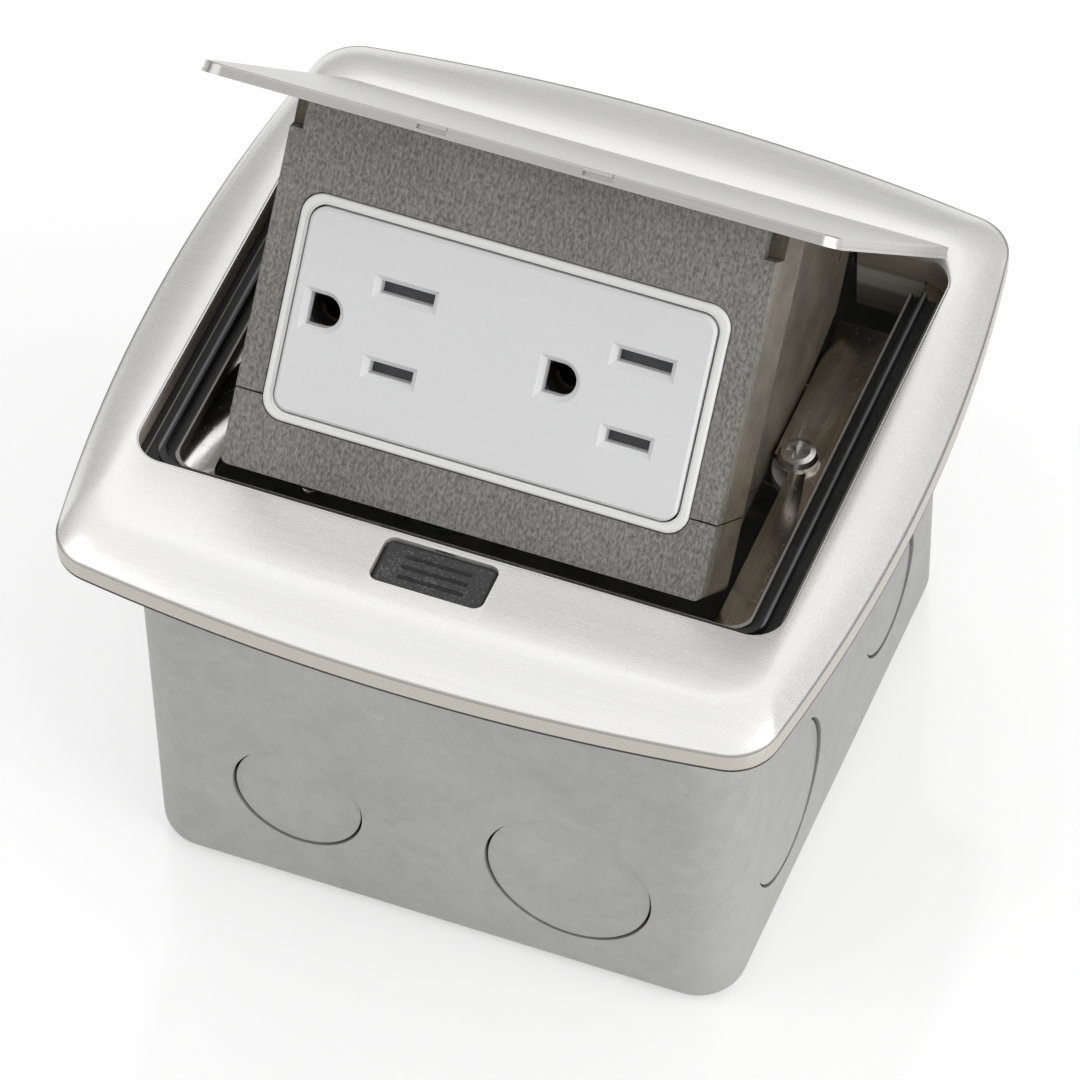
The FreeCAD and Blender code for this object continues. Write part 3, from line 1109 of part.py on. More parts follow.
cap_top = float(flange_top) - 0.35
cap_foot = cap_top - 1.55
wedge_low, wedge_high = float(frame_top) + 0.8, float(frame_top) + 2.4
spring_top = float(frame_top) + 1.9
button_outline = centred_outline(button_x, size("button_depth") / 2, size("button_corner"), 0, button_y)
cap = slab(button_outline, cap_foot, cap_top)
cap = cap.makeFillet(0.45, [edge for edge in cap.Edges if edge.BoundBox.ZMin > cap_top - 0.001])
for line in (-1.9, 0.0, 1.9):
    groove = rod(0.35, (-5.2, button_y + line, cap_top + 0.05), (5.2, button_y + line, cap_top + 0.05))
    ends = Part.makeSphere(0.35, Vector(5.2, float(button_y) + line, cap_top + 0.05))
    cap = cap.cut(groove.fuse(both_sides(ends)))
cap.rotate(Vector(0, -38.7, cap_top), Vector(1, 0, 0), 4.2)
stem = block((-stem_half_width, button_y - stem_half_depth, guide_low + 2.4),
             (stem_half_width, button_y + stem_half_depth, cap_foot + 0.3))
wedge = profile_solid([(button_y - stem_half_depth, wedge_low),
                       (button_y - stem_half_depth - 1.6, wedge_high),
                       (button_y - stem_half_depth - 1.6, cap_foot - 0.3),
                       (button_y - stem_half_depth, cap_foot - 0.3)], -4.5, 9.0)
spring_room = rod(1.75, (0, button_y, far_below), (0, button_y, spring_top))
feature("release_button", cap.fuse([stem, wedge]).cut(spring_room))

# The latch is drawn one for one with the button, on a slope of 45 degrees.
latch_low, latch_high = frame_top + 1.0, frame_top + 2.1
latch = block((-latch_arm - 2.0, -49.5, latch_low), (latch_arm + 2.0, -39.3, latch_high))
latch_window = block((-stem_half_width - 0.6, button_y - stem_half_depth - 0.6, far_below),
                     (stem_half_width + 0.6, -38, far_above))
slope_start = button_y - stem_half_depth - 0.2
latch_slope = profile_solid([(button_y, wedge_low), (slope_start, wedge_low),
                             (slope_start - 1.6, wedge_high), (button_y, wedge_high)], -4.9, 9.8)
latch = latch.cut(latch_window).cut(latch_slope)
arm_up = block((latch_arm - 2.0, -41.3, latch_high - 0.1), (latch_arm + 2.0, -39.6, nose_high - 1.4))
arm_tip = block((latch_arm - 2.0, -40.2, nose_high - 1.6), (latch_arm + 2.0, -39.0, nose_high))
nose = block((latch_arm - 2.0, -39.6, nose_low), (latch_arm + 2.0, -36.2, nose_high))
feature("latch_slide", latch.fuse([both_sides(arm_up), both_sides(arm_tip), both_sides(nose)]))

coil_turns, coil_radius, coil_wire = 6, 1.3, 0.3
coil_height = float(spring_top) - float(spring_low) - 2 * coil_wire
helix = Part.makeHelix(coil_height / coil_turns, coil_height, coil_radius)
ring = Part.Wire(Part.makeCircle(coil_wire, Vector(coil_radius, 0, 0), Vector(0, 1, 0.14)))
coil = Part.Wire(helix.Edges).makePipeShell([ring], True, True)
coil.translate(Vector(0, float(button_y), spring_low + coil_wire))
feature("button_spring", coil)

document.recompute()
for made in document.Objects:
    if "Invalid" in made.State or "Error" in made.State:
        raise RuntimeError(f"{made.Label} did not build: {made.State}")
os.makedirs("parts", exist_ok=True)
for piece in finished:
    if piece.Shape.isNull() or not piece.Shape.isValid():
        raise RuntimeError(f"{piece.Label} has no valid solid")
    piece.Shape.exportStep(f"parts/{piece.Label}.step")
    print(piece.Label, len(piece.Shape.Solids), "solids,", round(piece.Shape.Volume), "mm3")
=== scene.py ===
"""Looks of a floor socket box: a steel box, a domed metal surround, and a sprung lid with an outlet."""

import json
import logging
import math
from dataclasses import dataclass
from enum import Enum
from typing import Protocol, Union

import bmesh
import bpy
from mathutils import Matrix, Vector

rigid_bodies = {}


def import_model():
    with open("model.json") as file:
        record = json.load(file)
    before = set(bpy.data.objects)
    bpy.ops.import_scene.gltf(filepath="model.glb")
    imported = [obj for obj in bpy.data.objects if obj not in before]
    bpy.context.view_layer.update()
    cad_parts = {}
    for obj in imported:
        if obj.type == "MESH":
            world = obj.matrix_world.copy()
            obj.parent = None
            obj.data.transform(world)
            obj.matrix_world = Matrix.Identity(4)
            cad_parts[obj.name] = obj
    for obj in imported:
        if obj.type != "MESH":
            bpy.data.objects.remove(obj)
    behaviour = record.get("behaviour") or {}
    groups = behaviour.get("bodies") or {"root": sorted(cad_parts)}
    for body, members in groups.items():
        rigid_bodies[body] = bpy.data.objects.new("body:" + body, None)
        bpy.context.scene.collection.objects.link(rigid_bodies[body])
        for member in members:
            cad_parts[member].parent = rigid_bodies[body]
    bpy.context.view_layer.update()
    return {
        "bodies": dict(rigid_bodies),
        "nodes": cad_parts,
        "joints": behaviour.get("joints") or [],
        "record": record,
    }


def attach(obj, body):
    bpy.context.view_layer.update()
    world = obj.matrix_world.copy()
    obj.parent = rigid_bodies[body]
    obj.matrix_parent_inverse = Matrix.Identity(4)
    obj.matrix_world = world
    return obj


MM = 0.001
SAME_PLACE = 0.001 * MM
PLACE_DIGITS = 8
SOFT_ANGLE = math.radians(32)
SHARP_ANGLE = math.radians(38)
REPORT = logging.getLogger("floor_box")

Colour = tuple[float, float, float]
Triple = tuple[float, float, float]
Number = Union[float, "Value"]
Tint = Union[Colour, bpy.types.NodeSocket]


class Side(Enum):
    """Left and right of the object, as signs along X."""

    LEFT = -1.0
    RIGHT = 1.0


def arc(middle: Vector, radius: float, first: float, last: float, steps: int) -> list[Vector]:
    """Places along a part of a circle, both ends among them.

    Args:
        middle: the circle's centre.
        radius: its radius.
        first: the angle of the first place, in radians.
        last: the angle of the last place, in radians.
        steps: the steps between them.

    Returns:
        The places, one more than the steps.
    """
    angles = [first + (last - first) * step / steps for step in range(steps + 1)]
    return [middle + Vector((math.cos(angle), math.sin(angle))) * radius for angle in angles]


@dataclass(frozen=True)
class PillowOutline:
    """A round-cornered outline whose four sides bulge outwards, in millimetres."""

    half_width: float
    half_depth: float
    side_radius: float
    front_radius: float
    corner: float
    shift: float = 0.0

    def grown(self, by: float) -> "PillowOutline":
        """The same outline moved outwards all round.

        Args:
            by: how far, in millimetres; below 0 it moves inwards.

        Returns:
            The moved outline.
        """
        return PillowOutline(
            self.half_width + by, self.half_depth + by, self.side_radius + by, self.front_radius + by,
            self.corner + by, self.shift,
        )

    def towards(self, other: "PillowOutline", share: float) -> "PillowOutline":
        """An outline between this one and another, with its bulge fading as a curvature does.

        Args:
            other: the outline at a share of 1.
            share: how near to the other, from 0 to 1.

        Returns:
            The outline between them.
        """

        def between(first: float, second: float) -> float:
            """The share of two sizes."""
            return first * (1 - share) + second * share

        def faded(first: float, second: float) -> float:
            """The radius whose curvature is the share of two curvatures."""
            return 1 / between(1 / first, 1 / second)

        return PillowOutline(
            between(self.half_width, other.half_width), between(self.half_depth, other.half_depth),
            faded(self.side_radius, other.side_radius), faded(self.front_radius, other.front_radius),
            between(self.corner, other.corner), between(self.shift, other.shift),
        )

    def points(self, height: float, side_steps: int = 28, corner_steps: int = 14) -> list[Vector]:
        """Places along the outline, counted the same way on every outline.

        Args:
            height: the level of the outline, in millimetres.
            side_steps: the places on each side.
            corner_steps: the places on each corner.

        Returns:
            The places in metres, anticlockwise from the right side's front end.
        """
        side_middle = self.half_width - self.side_radius
        front_middle = self.half_depth - self.front_radius
        inner_side, inner_front = self.side_radius - self.corner, self.front_radius - self.corner
        span = math.hypot(side_middle, front_middle)
        along = (inner_side**2 - inner_front**2 + span**2) / (2 * span)
        across = math.sqrt(inner_side**2 - along**2)
        way = Vector((-side_middle, front_middle)) / span
        turned = Vector((-way.y, way.x))
        start = Vector((side_middle, 0.0))
        crossings = (start + way * along + turned * across * sign for sign in (1, -1))
        centre = max(crossings, key=lambda spot: spot.x + spot.y)
        side_end = math.atan2(centre.y, centre.x - side_middle)
        front_end = math.atan2(centre.y - front_middle, centre.x)
        half_steps = side_steps // 2
        right = arc(start, self.side_radius, 0.0, side_end, half_steps)
        corner = arc(centre, self.corner, side_end, front_end, corner_steps)
        back = arc(Vector((0.0, front_middle)), self.front_radius, front_end, math.pi / 2, half_steps)
        quarter = right[:-1] + corner[:-1] + back
        half = quarter + [Vector((-spot.x, spot.y)) for spot in reversed(quarter[:-1])]
        whole = half + [Vector((spot.x, -spot.y)) for spot in reversed(half[1:-1])]
        return [Vector((spot.x, spot.y + self.shift, height)) * MM for spot in whole]


def ringed(rings: list[list[Vector]]) -> bmesh.types.BMesh:
    """A band of faces drawn from ring to ring.

    Args:
        rings: the places of each ring, the same number in each.

    Returns:
        The band, with its doubled places merged.
    """
    mesh = bmesh.new()
    made = bmesh.ops.create_circle(mesh, segments=len(rings[0]), radius=1.0)
    for vertex, place in zip(made["verts"], rings[0]):
        vertex.co = place
    edges = list(mesh.edges)
    for last, ring in zip(rings, rings[1:]):
        moves = {tuple(round(part, PLACE_DIGITS) for part in old): new for old, new in zip(last, ring)}
        grown = bmesh.ops.extrude_edge_only(mesh, edges=edges)["geom"]
        edges = [part for part in grown if isinstance(part, bmesh.types.BMEdge)]
        for vertex in [part for part in grown if isinstance(part, bmesh.types.BMVert)]:
            vertex.co = moves[tuple(round(part, PLACE_DIGITS) for part in vertex.co)]
    bmesh.ops.remove_doubles(mesh, verts=mesh.verts, dist=SAME_PLACE)
    bmesh.ops.recalc_face_normals(mesh, faces=mesh.faces)
    return mesh


def pierced(whole: bmesh.types.BMesh, tool: bmesh.types.BMesh) -> bmesh.types.BMesh:
    """One closed mesh less another.

    Args:
        whole: the mesh that is cut; it is used up.
        tool: the mesh that cuts; it is used up.

    Returns:
        The cut mesh.
    """
    bodies = []
    for name, shape in (("uncut", whole), ("cutter", tool)):
        data = bpy.data.meshes.new(name)
        shape.to_mesh(data)
        shape.free()
        bodies.append(bpy.data.objects.new(name, data))
        bpy.context.scene.collection.objects.link(bodies[-1])
    cut = bodies[0].modifiers.new("cut", "BOOLEAN")
    cut.operation = "DIFFERENCE"
    cut.solver = "EXACT"
    cut.object = bodies[1]
    result = bmesh.new()
    result.from_object(bodies[0], bpy.context.evaluated_depsgraph_get())
    for body in bodies:
        data = body.data
        bpy.data.objects.remove(body)
        bpy.data.meshes.remove(data)
    return result


class Value:
    """A number that changes over a surface, with Python's own operators for its sums."""

    def __init__(self, shader: "Shader", socket: bpy.types.NodeSocket) -> None:
        """Keeps the socket that gives the number, and the shader that takes in the sums' nodes."""
        self.shader = shader
        self.socket = socket

    def _sum(self, operation: str, first: Number, second: Number) -> "Value":
        """The result of one Math node on two numbers."""
        node = self.shader.add("ShaderNodeMath", {"operation": operation}, {0: first, 1: second})
        return Value(self.shader, node.outputs[0])

    def __add__(self, other: Number) -> "Value":
        """This plus other."""
        return self._sum("ADD", self, other)

    __radd__ = __add__

    def __sub__(self, other: Number) -> "Value":
        """This minus other."""
        return self._sum("SUBTRACT", self, other)

    def __rsub__(self, other: Number) -> "Value":
        """Other minus this."""
        return self._sum("SUBTRACT", other, self)

    def __mul__(self, other: Number) -> "Value":
        """This times other."""
        return self._sum("MULTIPLY", self, other)

    __rmul__ = __mul__

    def __abs__(self) -> "Value":
        """This without its sign."""
        return self._sum("ABSOLUTE", self, 0.0)

    def rise(self, start: float, end: float) -> "Value":
        """A smooth step of this number.

        Args:
            start: where the step leaves 0.
            end: where it reaches 1; it may lie below start.

        Returns:
            A number from 0 to 1.
        """
        low, high = (0.0, 1.0) if start < end else (1.0, 0.0)
        limits = {"From Min": min(start, end), "From Max": max(start, end), "To Min": low, "To Max": high}
        node = self.shader.add(
            "ShaderNodeMapRange", {"interpolation_type": "SMOOTHSTEP"}, {"Value": self, **limits}
        )
        return Value(self.shader, node.outputs[0])

    def above(self, edge: float, blur: float) -> "Value":
        """1 above an edge and 0 below it, with a change that reaches as far as the blur to either side."""
        return self.rise(edge - blur, edge + blur)

    def below(self, edge: float, blur: float) -> "Value":
        """1 below an edge and 0 above it, with a change that reaches as far as the blur to either side."""
        return self.rise(edge + blur, edge - blur)


class Shader:
    """The nodes of one material, from the place on the piece to the surface."""

    def __init__(self, name: str) -> None:
        """Makes an empty material.

        Args:
            name: the material's name.
        """
        self.material = bpy.data.materials.new(name)
        self.material.use_nodes = True
        self.nodes = self.material.node_tree.nodes
        self.nodes.clear()
        self.place = self.add("ShaderNodeTexCoord").outputs["Object"]

    def add(self, kind: str, settings: dict | None = None, sockets: dict | None = None) -> bpy.types.Node:
        """Adds a node of any type.

        Args:
            kind: the node's type.
            settings: its own settings, set first.
            sockets: the value or link of each input, by name, identifier or number.

        Returns:
            The node.
        """
        node = self.nodes.new(kind)
        for setting, value in (settings or {}).items():
            setattr(node, setting, value)
        for key, value in (sockets or {}).items():
            socket = self._input(node, key)
            source = value.socket if isinstance(value, Value) else value
            if isinstance(source, bpy.types.NodeSocket):
                self.material.node_tree.links.new(source, socket)
            elif isinstance(source, tuple) and socket.type == "RGBA":
                socket.default_value = (*source, 1.0)
            else:
                socket.default_value = source
        return node

    @staticmethod
    def _input(node: bpy.types.Node, key: str | int) -> bpy.types.NodeSocket:
        """Finds a node's input.

        Args:
            node: the node.
            key: the input's identifier, name or number.

        Returns:
            The input socket.
        """
        if isinstance(key, int):
            return node.inputs[key]
        exact = [socket for socket in node.inputs if socket.identifier == key]
        return exact[0] if exact else node.inputs[key]

    def moved(
        self, scale: Triple, place: Triple = (0, 0, 0), turn: Triple = (0, 0, 0)
    ) -> bpy.types.NodeSocket:
        """The place on the piece, in a frame of its own and stretched.

        Args:
            scale: how often the pattern repeats per metre, along each axis of that frame.
            place: the frame's corner, in metres.
            turn: the frame's turn about X, Y and Z, in degrees.

        Returns:
            The vector's socket.
        """
        angles = tuple(math.radians(angle) for angle in turn)
        frame = {"Vector": self.place, "Location": place, "Rotation": angles}
        local = self.add("ShaderNodeMapping", {"vector_type": "TEXTURE"}, frame).outputs[0]
        if scale == (1, 1, 1):
            return local
        return self.add("ShaderNodeVectorMath", {"operation": "MULTIPLY"}, {0: local, 1: scale}).outputs[0]

    def axes(self, vector: bpy.types.NodeSocket) -> tuple[Value, Value, Value]:
        """A vector's three numbers."""
        split = self.add("ShaderNodeSeparateXYZ", sockets={0: vector})
        return tuple(Value(self, output) for output in split.outputs)

    def noise(self, vector: bpy.types.NodeSocket, detail: float = 2.0, roughness: float = 0.5) -> Value:
        """Cloudy noise, one wave per unit of the vector.

        Args:
            vector: the stretched place.
            detail: how many finer layers are added.
            roughness: how strong the finer layers are.

        Returns:
            A number round 0.5.
        """
        node = self.add(
            "ShaderNodeTexNoise",
            {"noise_dimensions": "3D"},
            {"Vector": vector, "Scale": 1.0, "Detail": detail, "Roughness": roughness},
        )
        return Value(self, node.outputs[0])

    def crystals(self, vector: bpy.types.NodeSocket) -> Value:
        """Flat cells, one per unit of the vector, each with a tone of its own."""
        node = self.add("ShaderNodeTexVoronoi", {"feature": "F1"}, {"Vector": vector, "Scale": 1.0})
        return self.axes(node.outputs["Color"])[0]

    def blend(self, share: Number, first: Tint, second: Tint) -> bpy.types.NodeSocket:
        """A colour between two.

        Args:
            share: how much of the second, from 0 to 1.
            first: a colour, or the socket that gives one.
            second: a colour, or the socket that gives one.

        Returns:
            The colour's socket.
        """
        tints = {"Factor_Float": share, "A_Color": first, "B_Color": second}
        node = self.add("ShaderNodeMix", {"data_type": "RGBA"}, tints)
        return next(output for output in node.outputs if output.identifier == "Result_Color")

    def surface(self, sockets: dict, height: Number | None = None, depth: float = 0.0) -> bpy.types.Material:
        """Ends the material in one Principled surface.

        Args:
            sockets: the surface's values and links.
            height: the relief, from 0 to 1.
            depth: how deep the relief is, in metres.

        Returns:
            The finished material.
        """
        if height is not None:
            relief = {"Strength": 1.0, "Distance": depth, "Height": height}
            bump = self.add("ShaderNodeBump", sockets=relief)
            sockets = {**sockets, "Normal": bump.outputs[0]}
        body = self.add("ShaderNodeBsdfPrincipled", sockets=sockets)
        self.add("ShaderNodeOutputMaterial", sockets={"Surface": body.outputs[0]})
        return self.material


class Finish(Protocol):
    """What every finish has and can do."""

    @property
    def name(self) -> str:
        """The material's name."""

    def material(self) -> bpy.types.Material:
        """The finish as a material."""


@dataclass(frozen=True)
class BrushedNickel:
    """Satin nickel, brushed from left to right.

    With a skirt it is the surround's, with painted light and shade: brown painted shade inside the opening
    with a paler painted highlight along its lower hem, a greyer painted shade on its upright rim, and a dark
    painted shade line where the rim meets the rolled edge.
    """

    name: str
    light: Colour = (0.93, 0.925, 0.905)
    dark: Colour = (0.885, 0.88, 0.86)
    # painted shade: the brown inside the opening stands in for the shade and dark reflections there, not for
    # a colour of the nickel
    inside: Colour = (0.42, 0.37, 0.29)
    hem_highlight: Colour = (0.84, 0.79, 0.69)
    # painted shade: the upright rim is painted darker than the crown, for the weaker light that falls on its
    # side
    rim: Colour = (0.56, 0.53, 0.47)
    # painted shade: colour of a thin dark line where the rim meets the rolled edge
    crease: Colour = (0.20, 0.195, 0.175)
    polish: float = 0.23
    metal: float = 0.96
    skirt: bool = False
    inside_half: tuple[float, float] = (55.0 * MM, 47.6 * MM)
    inside_top: float = 82.5 * MM
    hem_foot: float = 72.9 * MM
    hem_top: float = 77.0 * MM
    rim_top: float = 79.77 * MM
    crease_foot: float = 79.8 * MM
    crease_top: float = 80.12 * MM

    def material(self) -> bpy.types.Material:
        """The finish as a material."""
        shader = Shader(self.name)
        fine = shader.noise(shader.moved((55, 4200, 4200)), 2.0, 0.6)
        coarse = shader.noise(shader.moved((9, 650, 650)), 2.0, 0.55)
        smear = shader.noise(shader.moved((22, 34, 34)), 1.0)
        streak = (0.6 * fine + 0.4 * coarse).rise(0.28, 0.72)
        colour = shader.blend(streak, self.dark, self.light)
        rough = self.polish + 0.05 * streak + 0.05 * smear
        metal: Number = self.metal
        if self.skirt:
            across, along, up = shader.axes(shader.moved((1, 1, 1)))
            half_width, half_depth = self.inside_half
            inner = abs(across).below(half_width, 0.2 * MM) * abs(along).below(half_depth, 0.2 * MM)
            inner = inner * up.below(self.inside_top, 0.4 * MM)
            # painted highlight: a paler band along the skirt's lower hem, laid over the painted brown shade
            hem = up.below(self.hem_top, 0.4 * MM) * up.above(self.hem_foot, 0.5 * MM)
            brown = shader.blend(hem * (0.75 + 0.25 * coarse), self.inside, self.hem_highlight)
            # painted shade on the upright rim below rim_top
            edge = up.below(self.rim_top, 0.05 * MM) * (1 - inner)
            colour = shader.blend(edge, colour, self.rim)
            # painted shade: a thin dark band at the bend between the rim and the rolled edge
            crease = up.above(self.crease_foot, 0.06 * MM) * up.below(self.crease_top, 0.12 * MM)
            colour = shader.blend(0.75 * crease * (1 - inner), colour, self.crease)
            # the inner walls take the painted brown shade and lose most of their metal look
            colour = shader.blend(inner, colour, brown)
            metal = self.metal * (1 - 0.9 * inner)
        relief = 0.75 * fine + 0.25 * coarse
        sockets = {"Base Color": colour, "Metallic": metal, "Roughness": rough}
        return shader.surface(sockets, relief, 0.0028 * MM)


@dataclass(frozen=True)
class GalvanisedSheet:
    """Zinc coated steel sheet: clouded, finely grained, with thin pale scuffs."""

    name: str
    light: Colour = (0.52, 0.52, 0.505)
    dark: Colour = (0.395, 0.395, 0.385)
    scuff: Colour = (0.60, 0.60, 0.58)

    def material(self) -> bpy.types.Material:
        """The finish as a material."""
        shader = Shader(self.name)
        cloud = shader.noise(shader.moved((26, 26, 34)), 3.0, 0.6)
        spangle = shader.crystals(shader.moved((420, 420, 420)))
        grain = shader.noise(shader.moved((2300, 2300, 2300)), 2.0, 0.6)
        tone = (0.62 * cloud + 0.10 * spangle + 0.28 * grain).rise(0.22, 0.78)
        rub_marks_and_ridge_highlight = shader.noise(shader.moved((60, 60, 900), turn=(12, 8, 0)), 2.0, 0.7)
        wear_and_edge_highlight = shader.noise(shader.moved((75, 75, 75), place=(0.3, 0.1, 0.2)), 1.0)
        scuffed = rub_marks_and_ridge_highlight.rise(0.66, 0.74) * wear_and_edge_highlight.rise(0.50, 0.66)
        colour = shader.blend(scuffed * 0.4, shader.blend(tone, self.dark, self.light), self.scuff)
        rough = 0.40 + 0.14 * cloud + 0.06 * grain - 0.10 * scuffed
        relief = 0.7 * grain + 0.3 * cloud
        return shader.surface({"Base Color": colour, "Metallic": 0.55, "Roughness": rough}, relief, 0.03 * MM)


@dataclass(frozen=True)
class CastZinc:
    """Die cast zinc: sandy on its front, smoother and browner on its flanks, with one pin mark; the darker
    brown of the flanks is partly their own smoother surface and partly painted shade.
    """

    name: str
    light: Colour = (0.37, 0.36, 0.335)
    dark: Colour = (0.145, 0.138, 0.122)
    # flank colours: a smoother brown surface, painted darker as well for the shade on the less lit sides
    flank: Colour = (0.185, 0.158, 0.115)
    flank_dark: Colour = (0.105, 0.087, 0.060)
    face_place: Triple = (0.0, -17.0 * MM, 104.4 * MM)
    face_turn: float = -36.7
    face_half: float = 39.4 * MM
    front_depth: float = 2.1 * MM
    pin_mark: tuple[float, float] = (-8.4 * MM, 24.5 * MM)
    pin_radius: float = 2.6 * MM
    pin_ring: Triple = (0.72, 1.0, 1.35)

    def material(self) -> bpy.types.Material:
        """The finish as a material."""
        shader = Shader(self.name)
        turn = (self.face_turn, 0.0, 0.0)
        sand = shader.noise(shader.moved((2300, 2300, 1250), self.face_place, turn), 2.0, 0.7)
        flow = shader.noise(shader.moved((1700, 1700, 380), self.face_place, turn), 2.0, 0.5)
        cloud = shader.noise(shader.moved((45, 45, 45)), 2.0)
        across, depth, up = shader.axes(shader.moved((1, 1, 1), self.face_place, turn))
        tone = (0.64 * sand + 0.24 * flow + 0.12 * cloud).rise(0.34, 0.66)
        colour = shader.blend(tone, self.dark, self.light)
        stain = shader.noise(shader.moved((150, 150, 150)), 3.0, 0.6)
        # partly painted shade: the flanks and corners behind the front face are blended towards the darker
        # brown
        brown = shader.blend((0.7 * stain + 0.3 * sand).rise(0.32, 0.68), self.flank_dark, self.flank)
        corner = abs(across).rise(self.face_half, self.face_half + 0.5 * MM)
        behind = depth.above(self.front_depth, 0.5 * MM)
        colour = shader.blend(0.55 * corner, colour, brown)
        colour = shader.blend(0.92 * behind, colour, brown)
        mark_x, mark_up = self.pin_mark
        reach = (across - mark_x) * (across - mark_x) + (up - mark_up) * (up - mark_up)
        inner, ring_line, outer = (self.pin_radius**2 * share for share in self.pin_ring)
        ring = reach.rise(inner, ring_line) * reach.rise(outer, ring_line)
        relief = (0.65 * sand + 0.35 * flow) * (1 - 0.7 * behind) - 0.5 * ring
        rough = 0.40 + 0.16 * sand
        return shader.surface({"Base Color": colour, "Metallic": 0.45, "Roughness": rough}, relief, 0.11 * MM)


@dataclass(frozen=True)
class PlatedSheet:
    """Bright plated sheet or wire with faint drawing lines and a few dull patches.

    Where a sheen colour is given, the sheet's left half has it: a painted reflection that makes the left half
    paler.
    """

    name: str
    light: Colour
    dark: Colour
    polish: float = 0.14
    left_half_sheen: Colour | None = None

    def material(self) -> bpy.types.Material:
        """The finish as a material."""
        shader = Shader(self.name)
        drawn = shader.noise(shader.moved((1900, 60, 900)), 2.0, 0.6)
        stain = shader.noise(shader.moved((110, 85, 110)), 3.0, 0.6)
        fleck = shader.noise(shader.moved((900, 900, 900)), 1.0).rise(0.66, 0.74)
        tone = (0.35 * drawn + 0.65 * stain).rise(0.30, 0.70)
        colour = shader.blend(tone, self.dark, self.light)
        # painted reflection: the left half of the sheet is made paler, as if it mirrored brighter light
        if self.left_half_sheen:
            left = shader.axes(shader.moved((1, 1, 1)))[0].below(0.0, 5.0 * MM)
            colour = shader.blend(left * (1 - 0.15 * tone), colour, self.left_half_sheen)
        rough = self.polish + 0.05 * stain + 0.04 * drawn + 0.12 * fleck
        relief = 0.7 * drawn + 0.3 * stain
        return shader.surface({"Base Color": colour, "Metallic": 1.0, "Roughness": rough}, relief, 0.015 * MM)


@dataclass(frozen=True)
class MouldedPlastic:
    """Moulded plastic: nearly even colour, a fine grain and soft handling marks."""

    name: str
    colour: Colour
    shade: Colour
    roughness: float = 0.38
    grain_depth: float = 0.006 * MM
    grain_size: float = 0.45 * MM

    def material(self) -> bpy.types.Material:
        """The finish as a material."""
        shader = Shader(self.name)
        pitch = 1.0 / self.grain_size
        grain = shader.noise(shader.moved((pitch, pitch, pitch)), 2.0, 0.6)
        flow = shader.noise(shader.moved((40, 55, 40)), 2.0)
        tone = (0.45 * grain + 0.55 * flow).rise(0.25, 0.75)
        colour = shader.blend(tone, self.shade, self.colour)
        rough = self.roughness + 0.08 * grain + 0.06 * flow
        return shader.surface({"Base Color": colour, "Roughness": rough}, grain, self.grain_depth)


@dataclass(frozen=True)
class RibbedButton:
    """Black textured plastic with pale specks, darker in its grooves and at its edge, which is painted shade.
    """

    name: str
    black: Colour = (0.034, 0.034, 0.035)
    speck: Colour = (0.15, 0.15, 0.15)
    # painted shade colour for the grooves and the edge
    painted_groove_shade: Colour = (0.004, 0.004, 0.004)
    top: float = 83.15 * MM
    middle: float = -43.0 * MM
    half: tuple[float, float] = (9.0 * MM, 4.1 * MM)
    edge: float = 0.7 * MM
    groove_drop: float = 0.18 * MM
    high_end: float = -38.7 * MM
    slope: float = 0.0734

    def material(self) -> bpy.types.Material:
        """The finish as a material."""
        shader = Shader(self.name)
        grain = shader.noise(shader.moved((2400, 2400, 2400)), 2.0, 0.6)
        cloud = shader.noise(shader.moved((220, 220, 220)), 1.0)
        across, along, up = shader.axes(shader.moved((1, 1, 1)))
        colour = shader.blend((0.75 * grain + 0.25 * cloud).rise(0.50, 0.72), self.black, self.speck)
        # painted shade: the button is darkened near its edge and in its grooves, where shade falls in the
        # recess
        wide, deep = self.half
        rim = abs(across).rise(wide - self.edge, wide) + abs(along - self.middle).rise(deep - self.edge, deep)
        level = up - (along - self.high_end) * self.slope
        low = level.below(self.top - self.groove_drop, 0.08 * MM)
        shade = (rim + low).rise(0.0, 1.0)
        colour = shader.blend(0.9 * shade, colour, self.painted_groove_shade)
        return shader.surface({"Base Color": colour, "Roughness": 0.38 + 0.2 * grain}, grain, 0.12 * MM)


